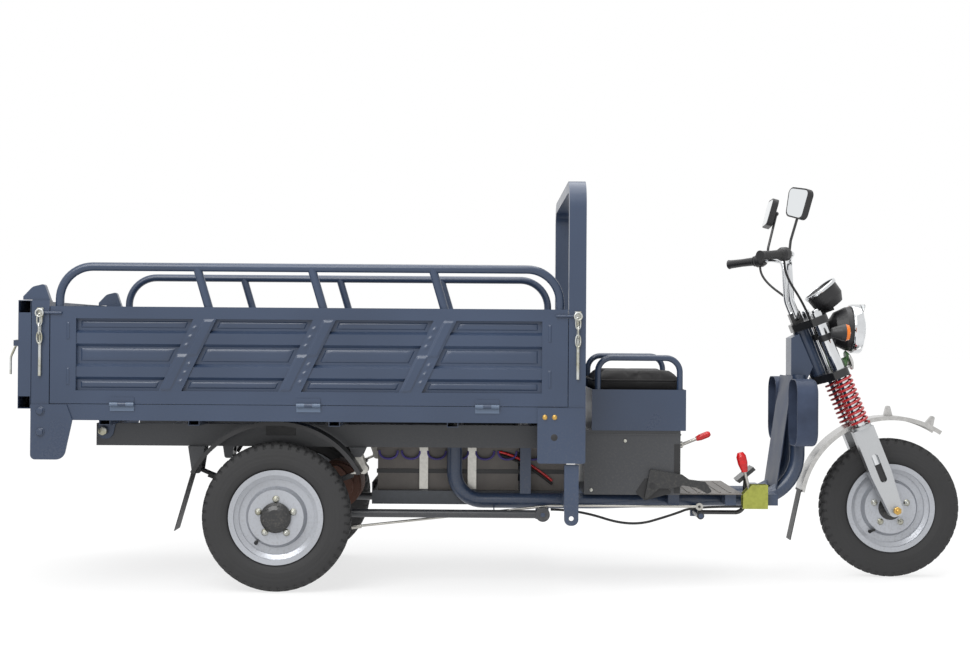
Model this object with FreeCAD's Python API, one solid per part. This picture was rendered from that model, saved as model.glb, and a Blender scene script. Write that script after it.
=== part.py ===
import FreeCAD, Part
import math
import os

from FreeCAD import Rotation, Vector

# Electric cargo tricycle with a tipping drop-side bed. Millimetres, +X forward, +Y to the left, +Z up.
# The origin is on the ground, under the middle of the overall box.

# Overall sizes
overall_length = 3490.0
cab_length = 1467.0
wheelbase_share = 229 / 349
tyre_diameter = 530.0
track_width = 900.0
bed_width = 1100.0
bed_side_height = 340.0
bed_top_height = 1006.0
running_gap = 0.5
seat_gap = 0.3
cut_overrun = 5.0

# Wheels
rim_flange_diameter = 336.0
rim_bead_diameter = 306.0
rim_width = 78.0
rim_sheet = 3.0
rim_well_depth = 16.0
rim_disc_offset = 12.0
rim_centre_bore = 92.0
rim_dish_diameter = 196.0
rim_dish_depth = 22.0
lug_circle_diameter = 130.0
lug_hole_diameter = 13.0
lug_count = 5
lug_turn_share = 0.25
rear_tyre_width = 104.0
front_tyre_width = 92.0
tyre_wall = 11.0
tyre_width_shares = (0.84, 0.97, 0.82, 0.6, 0.5)
tyre_depth_shares = (0.42, 0.72, 0.6, 0.3)
hub_diameter = 84.0
hub_cap_diameter = 108.0
hub_cap_height = 26.0
hub_cap_radius_shares = (1, 0.8, 0.55)
hub_cap_height_shares = (0.4, 0.75, 1)
brake_drum_diameter = 196.0
brake_drum_width = 46.0
drum_wall = 8.0
back_plate_thickness = 5.0
hub_bore_clearance = 0.05
axle_shaft_diameter = 34.0

# Rear axle
axle_tube_diameter = 76.0
axle_case_diameter = 190.0
axle_case_width = 150.0
motor_diameter = 168.0
motor_length = 210.0
motor_setback = 172.0
motor_lift = 70.0
motor_fin_count = 9
motor_fin_height = 7.0
motor_fin_width = 6.0
spring_pad_length = 110.0
spring_pad_height = 20.0
u_bolt_diameter = 12.0
axle_case_flat_share = 0.6
u_bolt_bend_share = 0.75
motor_end_share = 0.8
gear_plate_share = 0.8
gear_plate_corner_shares = (0, 0.3, 0.6, 0.3, 0)

# Leaf springs
leaf_span = 600.0
leaf_width = 55.0
leaf_thickness = 8.0
leaf_count = 5
leaf_step_share = 0.15
leaf_eye_bore = 16.0
leaf_eye_outside = 34.0
leaf_eye_height = 428.0
shackle_length = 62.0
shackle_lean_angle = 20.0
shackle_plate = 6.0
shackle_width = 26.0

# Ladder chassis under the bed
rail_spacing = 700.0
rail_width = 40.0
rail_height = 80.0
rail_top = 588.0
rail_wall = 4.0
rail_front_setback = 78.0
tip_pivot_setback = 148.0
tip_pivot_drop = 26.0
tip_pin_diameter = 20.0
tip_nut_share = 0.8
rail_tail = 28.0
cross_tube_width = 50.0
cross_tube_height = 60.0
cross_tube_shares = (0.1516, 0.492, 0.927)
hanger_plate = 8.0
hanger_width = 60.0

# Main frame: two bent tubes, head tube and neck
main_tube_diameter = 56.0
main_tube_wall = 4.0
main_tube_spacing = 470.0
main_tube_height = 305.0
main_tube_rear_share = 0.5754
main_tube_rear_bend = 105.0
main_tube_front_setback = 372.0
main_tube_front_run = 291.0
main_tube_front_bend = 170.0
neck_spread = 104.0
neck_setback = 358.0
neck_height = 770.0
head_tube_diameter = 62.0
head_tube_wall = 5.0
floor_cross_tube = 40.0
side_post_width = 50.0
side_post_depth = 34.0
side_post_wall = 3.0
side_post_bottom = 250.0
side_post_top = 462.0
side_post_setback = 47.0
post_ear_round_share = 0.9
side_post_hole = 17.0
outrigger_height = 40.0

# Steering head and fork
rake_angle = 22.0
stem_offset = 62.0
stem_diameter = 34.0
fork_spacing = 186.0
fork_tube_diameter = 38.0
fork_sleeve_diameter = 46.0
upper_clamp_along = 772.0
lower_clamp_along = 556.0
clamp_thickness = 30.0
clamp_ear_diameter = 66.0
clamp_round_shares = (0.8, 0.3)
fork_leg_top_along = 330.0
fork_leg_width = 80.0
fork_leg_foot_width = 50.0
fork_leg_thickness = 46.0
fork_leg_foot = 24.0
fork_leg_bore_depth = 215.0
fork_leg_slot_length = 112.0
fork_leg_slot_width = 26.0
fork_leg_slot_along = 170.0
fork_leg_slot_depth = 9.0
fork_leg_taper_share = 0.45
fork_leg_round_share = 0.8
fork_leg_slot_round_share = 0.95
fork_compression = 55.0
fork_extension = 15.0
front_axle_diameter = 16.0
front_axle_nut = 30.0
hub_neck_share = 1.4
hub_flange_share = 0.9
axle_spacer_share = 0.9
fork_spring_wire = 9.0
fork_spring_outside = 74.0
fork_spring_turns = 10
spring_end_gap = 1.15
spring_cup_height = 12.0

# Front fender
fender_radius = 350.0
fender_width = 104.0
fender_sheet = 2.0
fender_lip = 14.0
fender_front_angle = 57.0
fender_rear_angle = 170.0
fender_lug_angles = (90.5, 64.0)
fender_lug_height = 38.0
fender_lug_length = 34.0
fender_lug_thickness = 18.0
fender_lug_top_share = 0.4
fender_lug_round_share = 0.35
fender_side_gap = 16.0
mudflap_length = 190.0
mudflap_sheet = 3.0
mudflap_lean = 12.0

# Rear fenders
rear_fender_radius = 338.0
rear_fender_width = 112.0
rear_fender_sheet = 2.5
rear_fender_rib = 12.0
rear_fender_front_angle = 28.0
rear_fender_rear_angle = 152.0
rear_flap_length = 215.0
rear_flap_lean = 16.0
rear_fender_tab_angle = 9.0

# Cargo bed
latch_reach = 38.0
tailgate_thickness = 45.0
tailgate_gap = 2.0
tailgate_above_side = 20.0
bed_post_depth = 62.0
bed_section = 40.0
bed_post_wall = 3.0
panel_gap = 3.0
hoop_depth = 60.0
hoop_top_height = 1464.0
hoop_corner_radius = 95.0
sill_height = 56.0
sill_gap = 2.0
sill_wall = 3.0
floor_sheet = 3.0
floor_drop = 14.0
floor_rib_width = 46.0
floor_rib_height = 6.0
floor_rib_count = 9
bed_cross_width = 40.0
bed_cross_clearance = 1.0
bed_cross_shares = (0.128, 0.29, 0.545, 0.76, 0.985)
bed_cross_wall = 3.0
tip_ear_thickness = 8.0
tip_ear_radius = 30.0
tip_ear_round_share = 0.9
corner_plate_thickness = 6.0
corner_plate_drop = 194.0
corner_plate_length = 146.0
corner_plate_corner = 34.0
corner_plate_shares = (0.86, 0.8)
front_plate_length = 168.0
front_plate_drop = 196.0
horn_length = 74.0
horn_height = 56.0
horn_thickness = 26.0
horn_height_shares = (0.82, 0.2)
horn_round_shares = (0.18, 0.5)

# Drop sides
side_top_rail = 42.0
side_bottom_rail = 46.0
side_stile = 90.0
side_sheet = 2.0
side_recess = 12.0
side_rib_shares = (0, 0.06, 0.15, 0.19, 0.33, 0.375, 0.61, 0.65, 0.8, 0.84, 1)
side_rib_levels = (1, 1, 1, 0, 0, 1, 1, 0, 0, 1, 1)
brace_width = 80.0
brace_lean = 120.0
brace_proud = 4.0
brace_shares = (0.265, 0.496, 0.729)
side_hinge_offset = 8.0
side_hinge_radius = 7.0
side_hinge_pin = 8.0
side_hinge_length = 84.0
side_hinge_leaf = 3.0
side_hinge_leaf_height = 24.0
side_hinge_shares = (0.14, 0.5, 0.845)
side_rail_tube = 30.0
side_rail_wall = 2.0
side_rail_rise = 140.0
side_rail_bend = 115.0
side_rail_end = 28.0
side_rail_support_shares = (0.292, 0.514, 0.749)
side_rail_support_lean = 42.0
support_root_share = 0.2

# Tailgate and its latches
tailgate_rail = 45.0
tailgate_hinge_drop = 10.0
tailgate_hinge_radius = 9.0
tailgate_hinge_pin = 10.0
tailgate_hinge_length = 96.0
tailgate_hinge_shares = (0.14, 0.5, 0.86)
latch_pivot_drop = 150.0
latch_pin = 10.0
latch_thickness = 8.0
latch_handle = 110.0
latch_boss = 24.0
latch_inset = 30.0
latch_bend_share = 0.45
latch_round_share = 0.3

# Side locks
hasp_width = 22.0
hasp_height = 34.0
hasp_plate = 4.0
hasp_drop = 26.0
lock_link_length = 64.0
lock_pin_length = 140.0
lock_pin_diameter = 11.0
staple_length = 62.0
staple_diameter = 9.0

# Tail lamps
tail_lamp_width = 96.0
tail_lamp_height = 60.0
tail_lamp_depth = 24.0
tail_lamp_corner = 14.0

# Batteries
battery_length = 350.0
battery_motor_gap = 71.0
battery_front_gap = 42.0
battery_height = 170.0
battery_gap = 8.0
battery_count = 4
battery_lid = 26.0
battery_lid_step = 4.0
tray_beam_height = 50.0
tray_beam_width = 30.0
tray_sheet = 3.0
tray_strap_width = 32.0
tray_strap_sheet = 3.0
lead_diameter = 9.0
lead_start_share = 0.642
lead_shift_share = 1.4
lead_along_shares = (0.5, 1.15)
lead_drop_shares = (1.6, 0.78)

# Seat
seat_box_gap = 14.0
seat_floor_gap = 1.0
seat_box_width = 560.0
seat_box_height = 236.0
seat_box_sheet = 2.0
seat_box_band = 6.0
seat_pan_inset = 8.0
seat_pan_width = 584.0
seat_pan_height = 150.0
seat_pan_forward = 26.0
seat_pan_sheet = 3.0
seat_pan_floor = 118.0
seat_hoop_tube = 22.0
seat_hoop_rise = 116.0
seat_hoop_bend_share = 0.15
cushion_edge = 66.0
cushion_crown = 30.0
cushion_clearance = 4.0
cushion_side_tuck = 9.0
cushion_edge_share = 0.45
cushion_crown_share = 0.62
cushion_shares = (0.965, 1, 0.985, 0.9, 0.62)

# Floor board
floor_board_share = 368 / 830
floor_front_gap = 3.0
floor_board_width = 520.0
floor_board_sheet = 4.0
floor_board_ribs = 5
floor_rib_share = 1.5

# Leg shield
shield_sheet = 3.0
shield_standoff = 20.0
shield_standoff_shares = (0.68, 0.88)
shield_width = 250.0
shield_bottom = 345.0
shield_top = 768.0
shield_lean = 60.0
shield_top_setback = 395.0
knee_width = 172.0
knee_height = 248.0
knee_depth = 64.0
knee_bottom = 512.0
knee_corner = 58.0
knee_back_setback = 394.0

# Hand levers and pedal
dump_pivot_height = 512.0
dump_rod_diameter = 12.0
dump_rod_length = 60.0
dump_grip_length = 56.0
dump_grip_diameter = 24.0
dump_lever_y = -200.0
dump_lever_tilt = 22.0
dump_lug_share = 2.5
dump_boss_share = 1.5
dump_grip_radius_shares = (0, 0.7, 1, 1, 0.6, 0)
dump_grip_length_shares = (0, 0, 0.3, 0.85, 1, 1)
hand_brake_share = 263 / 830
hand_brake_height = 367.0
hand_brake_length = 224.0
hand_brake_round = 6.0
hand_brake_shares = ((-0.136, -0.25), (-0.038, 0.275), (0.486, 0.192), (0.6, 0.112), (0.862, 0.079),
                     (0.976, -0.085),
                     (0.893, -0.118), (0.714, -0.02), (0.502, 0.013), (0.304, -0.036), (0.109, -0.036))
hand_brake_plate = 4.0
hand_brake_thickness = 13.0
hand_brake_pin = 12.0
hand_brake_head = 20.0
brake_plate_back = 60.0
brake_plate_fore = 74.0
brake_plate_low = 54.0
brake_plate_high = 26.0
gear_box_share = 647 / 830
gear_box_length = 92.0
gear_box_height = 88.0
gear_box_width = 46.0
gear_box_sheet = 3.0
gear_stick_diameter = 11.0
gear_stick_length = 150.0
gear_stick_lean = 14.0
gear_knob_diameter = 36.0
gear_knob_length = 74.0
gear_low_share = 0.58
gear_slope_shares = (0.45, 0.4)
gear_pivot_share = 0.36
gear_knob_radius_shares = (0, 0.6, 1, 1, 0.6, 0)
gear_knob_length_shares = (0, 0, 0.45, 0.8, 1, 1)
gear_knob_root_share = 0.6
pedal_pivot_share = 442 / 830
pedal_pivot_height = 258.0
pedal_y = -158.0
pedal_shaft_diameter = 18.0
pedal_arm_diameter = 16.0
pedal_pad_share = 627 / 830
pedal_pad_height = 396.0
pedal_pad_length = 78.0
pedal_pad_width = 90.0
pedal_pad_thickness = 14.0
pedal_crank = 33.0
pedal_pad_slope = 40.0
pedal_swing = 14.0
pedal_boss_share = 0.75
pedal_root_share = 0.6
pedal_round_share = 0.8

# Thrust tubes and brake rod
thrust_tube_diameter = 30.0
thrust_eye_outside = 52.0
thrust_eye_width = 36.0
thrust_pin = 16.0
thrust_front_setback = 138.0
thrust_bracket_share = 1.5
thrust_height = 262.0
thrust_spacing = 600.0
thrust_axle_reach = 96.0
thrust_clearance = 3.0
brake_rod_diameter = 9.0
brake_rod_y = -272.0
brake_rod_reach = 250.0
brake_rod_eye_share = 1.5
brake_rod_block_share = 4
brake_rod_end_height = 208.0
brake_rod_clearance = 0.45
brake_guide_share = 0.7077
guide_plate_share = 1.3
guide_round_share = 0.6
brake_guide_clearance = 1.4
gear_cable_sag = 78.0
gear_cable_share = 0.4
cable_bend_share = 0.6

# Handlebar and controls
bar_diameter = 22.0
bar_riser_spacing = 96.0
bar_riser_along = 205.0
bar_riser_bend = 42.0
bar_half_width = 300.0
bar_block_share = 0.75
bar_rise_shares = (0.34, 0.76)
bar_corner_share = 0.56
bar_lift_share = 1.6
bar_bend_shares = (0, 1.5, 1, 2, 0.7)
bar_end_drop = 10.0
grip_length = 128.0
grip_diameter = 34.0
grip_flange = 42.0
grip_sweep = 46.0
grip_inset_share = 1.6
grip_waist_share = 0.92
grip_end_share = 0.9
pod_length = 44.0
pod_height = 52.0
pod_depth = 40.0
pod_shares = (0.3, 0.8)
bar_cable_shares = (0.8, 1.4, 1.5, 0.3)
pod_cable_shares = (0.9, 0.75)

# Mirrors
mirror_stem_diameter = 10.0
mirror_stem_rise = 150.0
mirror_stem_lean = 40.0
mirror_head_width = 118.0
mirror_head_height = 122.0
mirror_head_depth = 24.0
mirror_ball_diameter = 18.0
mirror_turn_angle = 30.0
mirror_foot_share = 0.25
mirror_bend_shares = (0.4, 0.25, 0.2)
mirror_offset_share = 0.1
mirror_round_share = 0.2
mirror_outline_shares = ((-0.42, -0.45), (0.38, -0.55), (0.5, 0.4), (-0.5, 0.45))

# Lamps, instrument and horn
headlight_diameter = 176.0
headlight_depth = 112.0
headlight_rim = 12.0
headlight_lens_bulge = 20.0
headlight_along = 703.0
headlight_ahead = 86.0
headlight_radius_shares = (0, 0.35, 0.72, 0.94, 1, 1, 0)
headlight_depth_shares = (0, 0.04, 0.24, 0.6, 0.92, 1, 1)
lens_radius_shares = (0.92, 0.6)
lens_bulge_share = 0.7
visor_reach = 50.0
visor_sheet = 3.0
visor_start_angle = 35.0
visor_end_angle = 145.0
visor_slope_share = 1.2
visor_cut_shares = (0.5, 1.5)
signal_length = 76.0
signal_diameter = 66.0
signal_lens = 22.0
signal_along = 706.0
signal_y = 190.0
signal_stalk = 14.0
signal_radius_shares = (0.5, 0.9)
signal_length_shares = (0.05, 0.5)
signal_lens_shares = (0.95, 0.85, 0.6)
instrument_diameter = 128.0
instrument_depth = 84.0
instrument_bezel = 10.0
instrument_tilt = 38.0
instrument_along = 796.0
instrument_ahead = 88.0
instrument_shares = (0.7, 0.97, 0.35)
horn_diameter = 78.0
horn_depth = 34.0
horn_along = 580.0
horn_ahead = 79.0
horn_radius_shares = (0, 0.45, 0.45, 0.9, 1, 1, 0.6, 0)
horn_depth_shares = (0, 0, 0.45, 0.5, 0.6, 0.75, 1, 1)

# Worked-out places
tyre_radius = tyre_diameter / 2
front_axle_x = overall_length / 2 - tyre_radius
rear_axle_x = front_axle_x - overall_length * wheelbase_share
axle_height = tyre_radius
wheel_y = track_width / 2
half_bed = bed_width / 2
rail_y = rail_spacing / 2
rail_bottom = rail_top - rail_height
tip_pivot_z = rail_top - tip_pivot_drop
tube_y = main_tube_spacing / 2
tube_radius = main_tube_diameter / 2
fork_y = fork_spacing / 2
tailgate_back_x = latch_reach - overall_length / 2
tailgate_front_x = tailgate_back_x + tailgate_thickness
post_back_x = tailgate_front_x + tailgate_gap
post_front_x = post_back_x + bed_post_depth
side_back_x = post_front_x + panel_gap
hoop_front_x = overall_length / 2 - cab_length
hoop_back_x = hoop_front_x - hoop_depth
side_front_x = hoop_back_x - panel_gap
bed_side_length = side_front_x - side_back_x
side_bottom = bed_top_height - bed_side_height
sill_top = side_bottom - sill_gap
sill_bottom = sill_top - sill_height
floor_top = sill_top - floor_drop
bed_cross_top = floor_top - floor_sheet
bed_cross_bottom = rail_top + bed_cross_clearance
bed_length = hoop_front_x - post_back_x
tip_pivot_x = side_back_x + tip_pivot_setback
rail_front_x = hoop_front_x - rail_front_setback
side_post_x = hoop_front_x - side_post_setback
thrust_front_x = hoop_front_x - thrust_front_setback
axle_to_hoop = hoop_front_x - rear_axle_x
main_tube_rear_x = rear_axle_x + axle_to_hoop * main_tube_rear_share
brake_guide_x = rear_axle_x + axle_to_hoop * brake_guide_share
brake_rod_end_x = rear_axle_x + brake_rod_reach
main_tube_front_x = front_axle_x - main_tube_front_setback
neck_x = front_axle_x - neck_setback
shield_top_x = front_axle_x - shield_top_setback
knee_back_x = front_axle_x - knee_back_setback
cab_room = main_tube_front_x - hoop_front_x
gear_box_x = hoop_front_x + cab_room * gear_box_share
pedal_pad_x = hoop_front_x + cab_room * pedal_pad_share
pedal_pivot_x = hoop_front_x + cab_room * pedal_pivot_share
floor_board_back_x = hoop_front_x + cab_room * floor_board_share
floor_board_length = gear_box_x - gear_box_length / 2 - floor_front_gap - floor_board_back_x
hand_brake_x = hoop_front_x + cab_room * hand_brake_share
seat_box_back_x = hoop_front_x + seat_box_gap
seat_box_length = floor_board_back_x - seat_floor_gap - seat_box_back_x
seat_pan_length = seat_box_length - seat_pan_inset
seat_hoop_bend = seat_pan_length * seat_hoop_bend_share
motor_x = rear_axle_x + motor_setback
battery_back_x = motor_x + motor_diameter / 2 + motor_fin_height + battery_motor_gap
battery_run = hoop_front_x - battery_front_gap - battery_back_x
battery_width = (battery_run - (battery_count - 1) * battery_gap) / battery_count
lead_back_x = battery_back_x + battery_run * lead_start_share

ORIGIN = Vector(0, 0, 0)
X_AXIS = Vector(1, 0, 0)
Y_AXIS = Vector(0, 1, 0)
Z_AXIS = Vector(0, 0, 1)
FULL_TURN = 360
QUARTER_TURN = FULL_TURN / 4
touch_share = 1e-6


def box(x0, x1, y0, y1, z0, z1):
    """Block between two opposite corners."""
    return Part.makeBox(x1 - x0, y1 - y0, z1 - z0, Vector(x0, y0, z0))


def box_tube(x0, x1, y0, y1, z0, z1, wall, along):
    """Square tube, open at both ends, that runs along X, Y or Z."""
    grow = {axis: (cut_overrun if axis == along else -wall) for axis in "xyz"}
    bore = box(
        x0 - grow["x"], x1 + grow["x"], y0 - grow["y"], y1 + grow["y"], z0 - grow["z"], z1 + grow["z"]
    )
    return box(x0, x1, y0, y1, z0, z1).cut(bore)


def rod(start, end, radius):
    """Round bar between two points."""
    run = end - start
    return Part.makeCylinder(radius, run.Length, start, run)


def sleeve(start, end, radius, bore):
    """Round tube between two points, open at both ends."""
    run = end - start
    over = Vector(run).normalize() * cut_overrun
    return rod(start, end, radius).cut(rod(start - over, end + over, bore))


def rounded(points, radii, closed):
    """Edges along a run of points, with each corner turned by a tangent arc of its own radius."""
    count = len(points)
    corners = []
    for index, point in enumerate(points):
        inside = closed or 0 < index < count - 1
        if radii[index] == 0 or not inside:
            corners.append((point, None, point))
            continue
        before = (points[index - 1] - point).normalize()
        after = (points[(index + 1) % count] - point).normalize()
        half = before.getAngle(after) / 2
        reach = radii[index] / math.tan(half)
        middle = (before + after).normalize()
        centre = point + middle * (radii[index] / math.sin(half))
        corners.append((point + before * reach, centre - middle * radii[index], point + after * reach))
    edges = []
    for index, (start, middle, end) in enumerate(corners):
        if middle is not None:
            edges.append(Part.Arc(start, middle, end).toShape())
        if index == count - 1 and not closed:
            break
        following = corners[(index + 1) % count][0]
        if (following - end).Length > touch_share * overall_length:
            edges.append(Part.LineSegment(end, following).toShape())
    return edges


def slab(points, radii, depth):
    """Plate of a rounded outline, thickened along a vector."""
    if not isinstance(radii, (list, tuple)):
        radii = [radii] * len(points)
    return Part.Face(Part.Wire(rounded(points, radii, True))).extrude(depth)


def flat_xz(points, y0, y1, radii=0):
    """Plate with its outline in X and Z, between two Y places."""
    return slab([Vector(x, y0, z) for x, z in points], radii, Vector(0, y1 - y0, 0))


def flat_yz(points, x0, x1, radii=0):
    """Plate with its outline in Y and Z, between two X places."""
    return slab([Vector(x0, y, z) for y, z in points], radii, Vector(x1 - x0, 0, 0))


def pipe(points, bends, radius, wall=0):
    """Round tube along straight runs joined by tangent arcs."""
    if not isinstance(bends, (list, tuple)):
        bends = [bends] * len(points)
    path = Part.Wire(rounded(points, bends, False))
    run = points[1] - points[0]

    def swept(size):
        return path.makePipeShell([Part.Wire([Part.makeCircle(size, points[0], run)])], True, False)

    return swept(radius).cut(swept(radius - wall)) if wall else swept(radius)


def turned(profile, place=ORIGIN):
    """Solid of revolution about a Y axis through a place; the profile holds (radius, y) pairs."""
    points = [Vector(radius, y, 0) for radius, y in profile]
    solid = Part.Face(Part.makePolygon(points + points[:1])).revolve(ORIGIN, Y_AXIS, FULL_TURN)
    solid.translate(place)
    return solid


def ring_holes(count, circle, radius, y0, y1, place):
    """Round cutters on a circle about a Y axis."""
    holes = []
    for index in range(count):
        angle = math.radians(FULL_TURN * (index + lug_turn_share) / count)
        spot = place + Vector(circle * math.cos(angle), 0, circle * math.sin(angle))
        holes.append(rod(spot + Vector(0, y0, 0), spot + Vector(0, y1, 0), radius))
    return holes


def shaped(radius, length, radius_shares, length_shares):
    """Profile of (radius, place) pairs from shares of a radius and a length."""
    return [(radius * wide, length * along) for wide, along in zip(radius_shares, length_shares)]


def joined(first, *others):
    """One welded solid of several touching ones."""
    return first.fuse(list(others)).removeSplitter()


def mirrored(shape):
    """Copy on the other side of the centre plane."""
    return shape.mirror(ORIGIN, Y_AXIS)


def both_sides(shape):
    """The shape and its mirror image, as two solids."""
    return [shape, mirrored(shape)]


def in_fork(shape):
    """From the fork's own frame, upright with its origin at the axle, to the raked place."""
    placed = shape.copy()
    placed.rotate(ORIGIN, Y_AXIS, -rake_angle)
    placed.translate(Vector(front_axle_x, 0, axle_height))
    return placed


def fork_point(ahead, y, along):
    """Place of a point given in the fork's own frame."""
    turn = Rotation(Y_AXIS, -rake_angle)
    return Vector(front_axle_x, 0, axle_height) + turn.multVec(Vector(ahead, y, along))


def polar(centre_x, centre_z, radius, degrees, y=0):
    """Point on a circle in the X and Z plane; the angle rises from +X."""
    angle = math.radians(degrees)
    return Vector(centre_x + radius * math.cos(angle), y, centre_z + radius * math.sin(angle))


def band(centre_x, centre_z, inner, outer, start, end, y0, y1):
    """Part of a ring in the X and Z plane between two angles, carried along Y."""
    middle = (start + end) / 2
    near = [polar(centre_x, centre_z, inner, turn, y0) for turn in (start, middle, end)]
    far = [polar(centre_x, centre_z, outer, turn, y0) for turn in (end, middle, start)]
    edges = [
        Part.Arc(*near).toShape(),
        Part.LineSegment(near[2], far[0]).toShape(),
        Part.Arc(*far).toShape(),
        Part.LineSegment(far[2], near[0]).toShape(),
    ]
    return Part.Face(Part.Wire(edges)).extrude(Vector(0, y1 - y0, 0))


def save(name, *shapes):
    """Write one node; several shapes stay separate solids in it."""
    solids = [solid for shape in shapes for solid in shape.Solids]
    for solid in solids:
        if not solid.isValid():
            print("invalid solid in", name)
    Part.makeCompound(solids).exportStep("parts/" + name + ".step")


os.makedirs("parts", exist_ok=True)


# Wheels: rim, tyre and hub, drawn with +Y outwards and turned round for the right side
def rim():
    """Steel disc wheel: flanged barrel with a drop centre, and a dished disc welded inside it."""
    edge = rim_width / 2
    flange = rim_flange_diameter / 2
    seat = rim_bead_diameter / 2
    well = seat - rim_well_depth
    seat_in = edge - rim_well_depth
    well_in = seat_in - rim_well_depth / 2
    face = rim_disc_offset + rim_dish_depth
    dish = rim_dish_diameter / 2
    bore = rim_centre_bore / 2
    barrel = turned([
        (flange, -edge), (seat, -edge + rim_sheet), (seat, -seat_in), (well, -well_in), (well, well_in),
        (seat, seat_in), (seat, edge - rim_sheet), (flange, edge), (flange, edge + rim_sheet),
        (seat - rim_sheet, edge), (seat - rim_sheet, seat_in + rim_sheet),
        (well - rim_sheet, well_in + rim_sheet), (well - rim_sheet, -well_in - rim_sheet),
        (seat - rim_sheet, -seat_in - rim_sheet), (seat - rim_sheet, -edge), (flange, -edge - rim_sheet),
    ])
    disc = turned([
        (well - rim_sheet, rim_disc_offset), (dish + rim_dish_depth / 2, rim_disc_offset), (dish, face),
        (bore, face), (bore, face - rim_sheet), (dish - rim_sheet, face - rim_sheet),
        (dish + rim_dish_depth / 2 - rim_sheet, rim_disc_offset - rim_sheet),
        (well - rim_sheet, rim_disc_offset - rim_sheet),
    ])
    holes = ring_holes(lug_count, lug_circle_diameter / 2, lug_hole_diameter / 2,
                       rim_disc_offset - rim_sheet, face + cut_overrun, ORIGIN)
    return joined(barrel, disc).cut(holes)


def tyre(width):
    """Hollow tyre that sits on the bead seats, with a flat crown and full side walls."""
    seat = rim_bead_diameter / 2 + seat_gap
    bead = rim_width / 2 - rim_sheet - seat_gap
    flange = rim_flange_diameter / 2
    half = width / 2
    depth = tyre_radius - flange
    wide = [half * share for share in tyre_width_shares]
    deep = [flange + depth * share for share in tyre_depth_shares]
    outer = [
        (seat, bead), (flange, bead), (flange + tyre_wall / 2, wide[0]), (deep[0], half), (deep[1], wide[1]),
        (tyre_radius - tyre_wall / 2, wide[2]), (tyre_radius, wide[3]),
    ]
    inner = [
        (tyre_radius - tyre_wall, wide[4]), (deep[2], half - tyre_wall), (deep[3], half - tyre_wall),
        (flange, bead - tyre_wall), (seat, bead - tyre_wall),
    ]
    upper = outer + [(radius, -y) for radius, y in reversed(outer)]
    lower = [(radius, -y) for radius, y in reversed(inner)] + inner
    return turned(upper + lower)


def hub(disc_face):
    """Hub with its mounting flange and the brake drum that opens inwards."""
    bore = axle_shaft_diameter / 2 + hub_bore_clearance
    drum = brake_drum_diameter / 2
    flange_back = disc_face - drum_wall - rim_sheet
    flange = disc_face - rim_sheet
    return turned([
        (bore, flange), (rim_centre_bore, flange), (rim_centre_bore, flange_back), (drum, flange_back),
        (drum, flange - brake_drum_width), (drum - drum_wall, flange - brake_drum_width),
        (drum - drum_wall, flange_back - drum_wall), (hub_diameter / 2, flange_back - drum_wall),
        (hub_diameter / 2, flange - brake_drum_width + drum_wall),
        (bore, flange - brake_drum_width + drum_wall),
    ])


def hub_cap(disc_face):
    """Domed cap over the hub, on the outside of the wheel disc."""
    radius = hub_cap_diameter / 2
    steps = shaped(radius, hub_cap_height, hub_cap_radius_shares, hub_cap_height_shares)
    cap = turned([(0, 0), (radius, 0)] + steps + [(0, hub_cap_height)])
    cap.translate(Vector(0, disc_face, 0))
    return cap


disc_face = rim_disc_offset + rim_dish_depth
left_wheel = Vector(rear_axle_x, wheel_y, axle_height)
rear_wheel_nodes = {
    "rear_rim": [rim()],
    "rear_tyre": [tyre(rear_tyre_width)],
    "rear_hub": [hub(disc_face), hub_cap(disc_face)],
}
for node, shapes in rear_wheel_nodes.items():
    for shape in shapes:
        shape.translate(left_wheel)
    save(node + "_left", *shapes)
    save(node + "_right", *[mirrored(shape) for shape in shapes])


# Rear axle: tube with its gear case, brake back plates, spring pads, stub shafts and U-bolts
drum_back = disc_face - rim_sheet - brake_drum_width
plate_y = wheel_y + drum_back - running_gap
axle_centre = Vector(rear_axle_x, 0, axle_height)
shaft_end = wheel_y + disc_face - rim_sheet - running_gap
tube_r = axle_tube_diameter / 2
case_r = axle_case_diameter / 2
case_half = axle_case_width / 2
case_flat = case_half * axle_case_flat_share
axle_body = turned([
    (0, -shaft_end), (axle_shaft_diameter / 2, -shaft_end), (axle_shaft_diameter / 2, -plate_y),
    (brake_drum_diameter / 2, -plate_y), (brake_drum_diameter / 2, back_plate_thickness - plate_y),
    (tube_r, back_plate_thickness - plate_y), (tube_r, -case_half - tube_r), (case_r, -case_flat),
    (case_r, case_flat), (tube_r, case_half + tube_r), (tube_r, plate_y - back_plate_thickness),
    (brake_drum_diameter / 2, plate_y - back_plate_thickness), (brake_drum_diameter / 2, plate_y),
    (axle_shaft_diameter / 2, plate_y), (axle_shaft_diameter / 2, shaft_end), (0, shaft_end),
], axle_centre)

pad_top = axle_height + tube_r + spring_pad_height
pad_half = spring_pad_length / 2
leaf_half = leaf_width / 2
pad = box(rear_axle_x - pad_half, rear_axle_x + pad_half, rail_y - leaf_half - u_bolt_diameter / 2,
          rail_y + leaf_half + u_bolt_diameter / 2, axle_height, pad_top)
thrust_y = thrust_spacing / 2
thrust_rear_x = rear_axle_x + thrust_axle_reach
thrust_half = thrust_eye_width / 2
thrust_r = thrust_pin / 2
ear_outline = [
    (rear_axle_x, axle_height + tube_r / 2), (thrust_rear_x + thrust_pin, axle_height + thrust_pin),
    (thrust_rear_x + thrust_pin, thrust_height - thrust_pin), (rear_axle_x, axle_height - tube_r / 2),
]
ears = [
    flat_xz(ear_outline, y, y + hanger_plate)
    for y in (thrust_y - thrust_half - thrust_clearance - hanger_plate,
              thrust_y + thrust_half + thrust_clearance)
]
thrust_rear_pin = rod(Vector(thrust_rear_x, thrust_y - thrust_half - thrust_clearance, thrust_height),
                      Vector(thrust_rear_x, thrust_y + thrust_half + thrust_clearance, thrust_height),
                      thrust_r)
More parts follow.
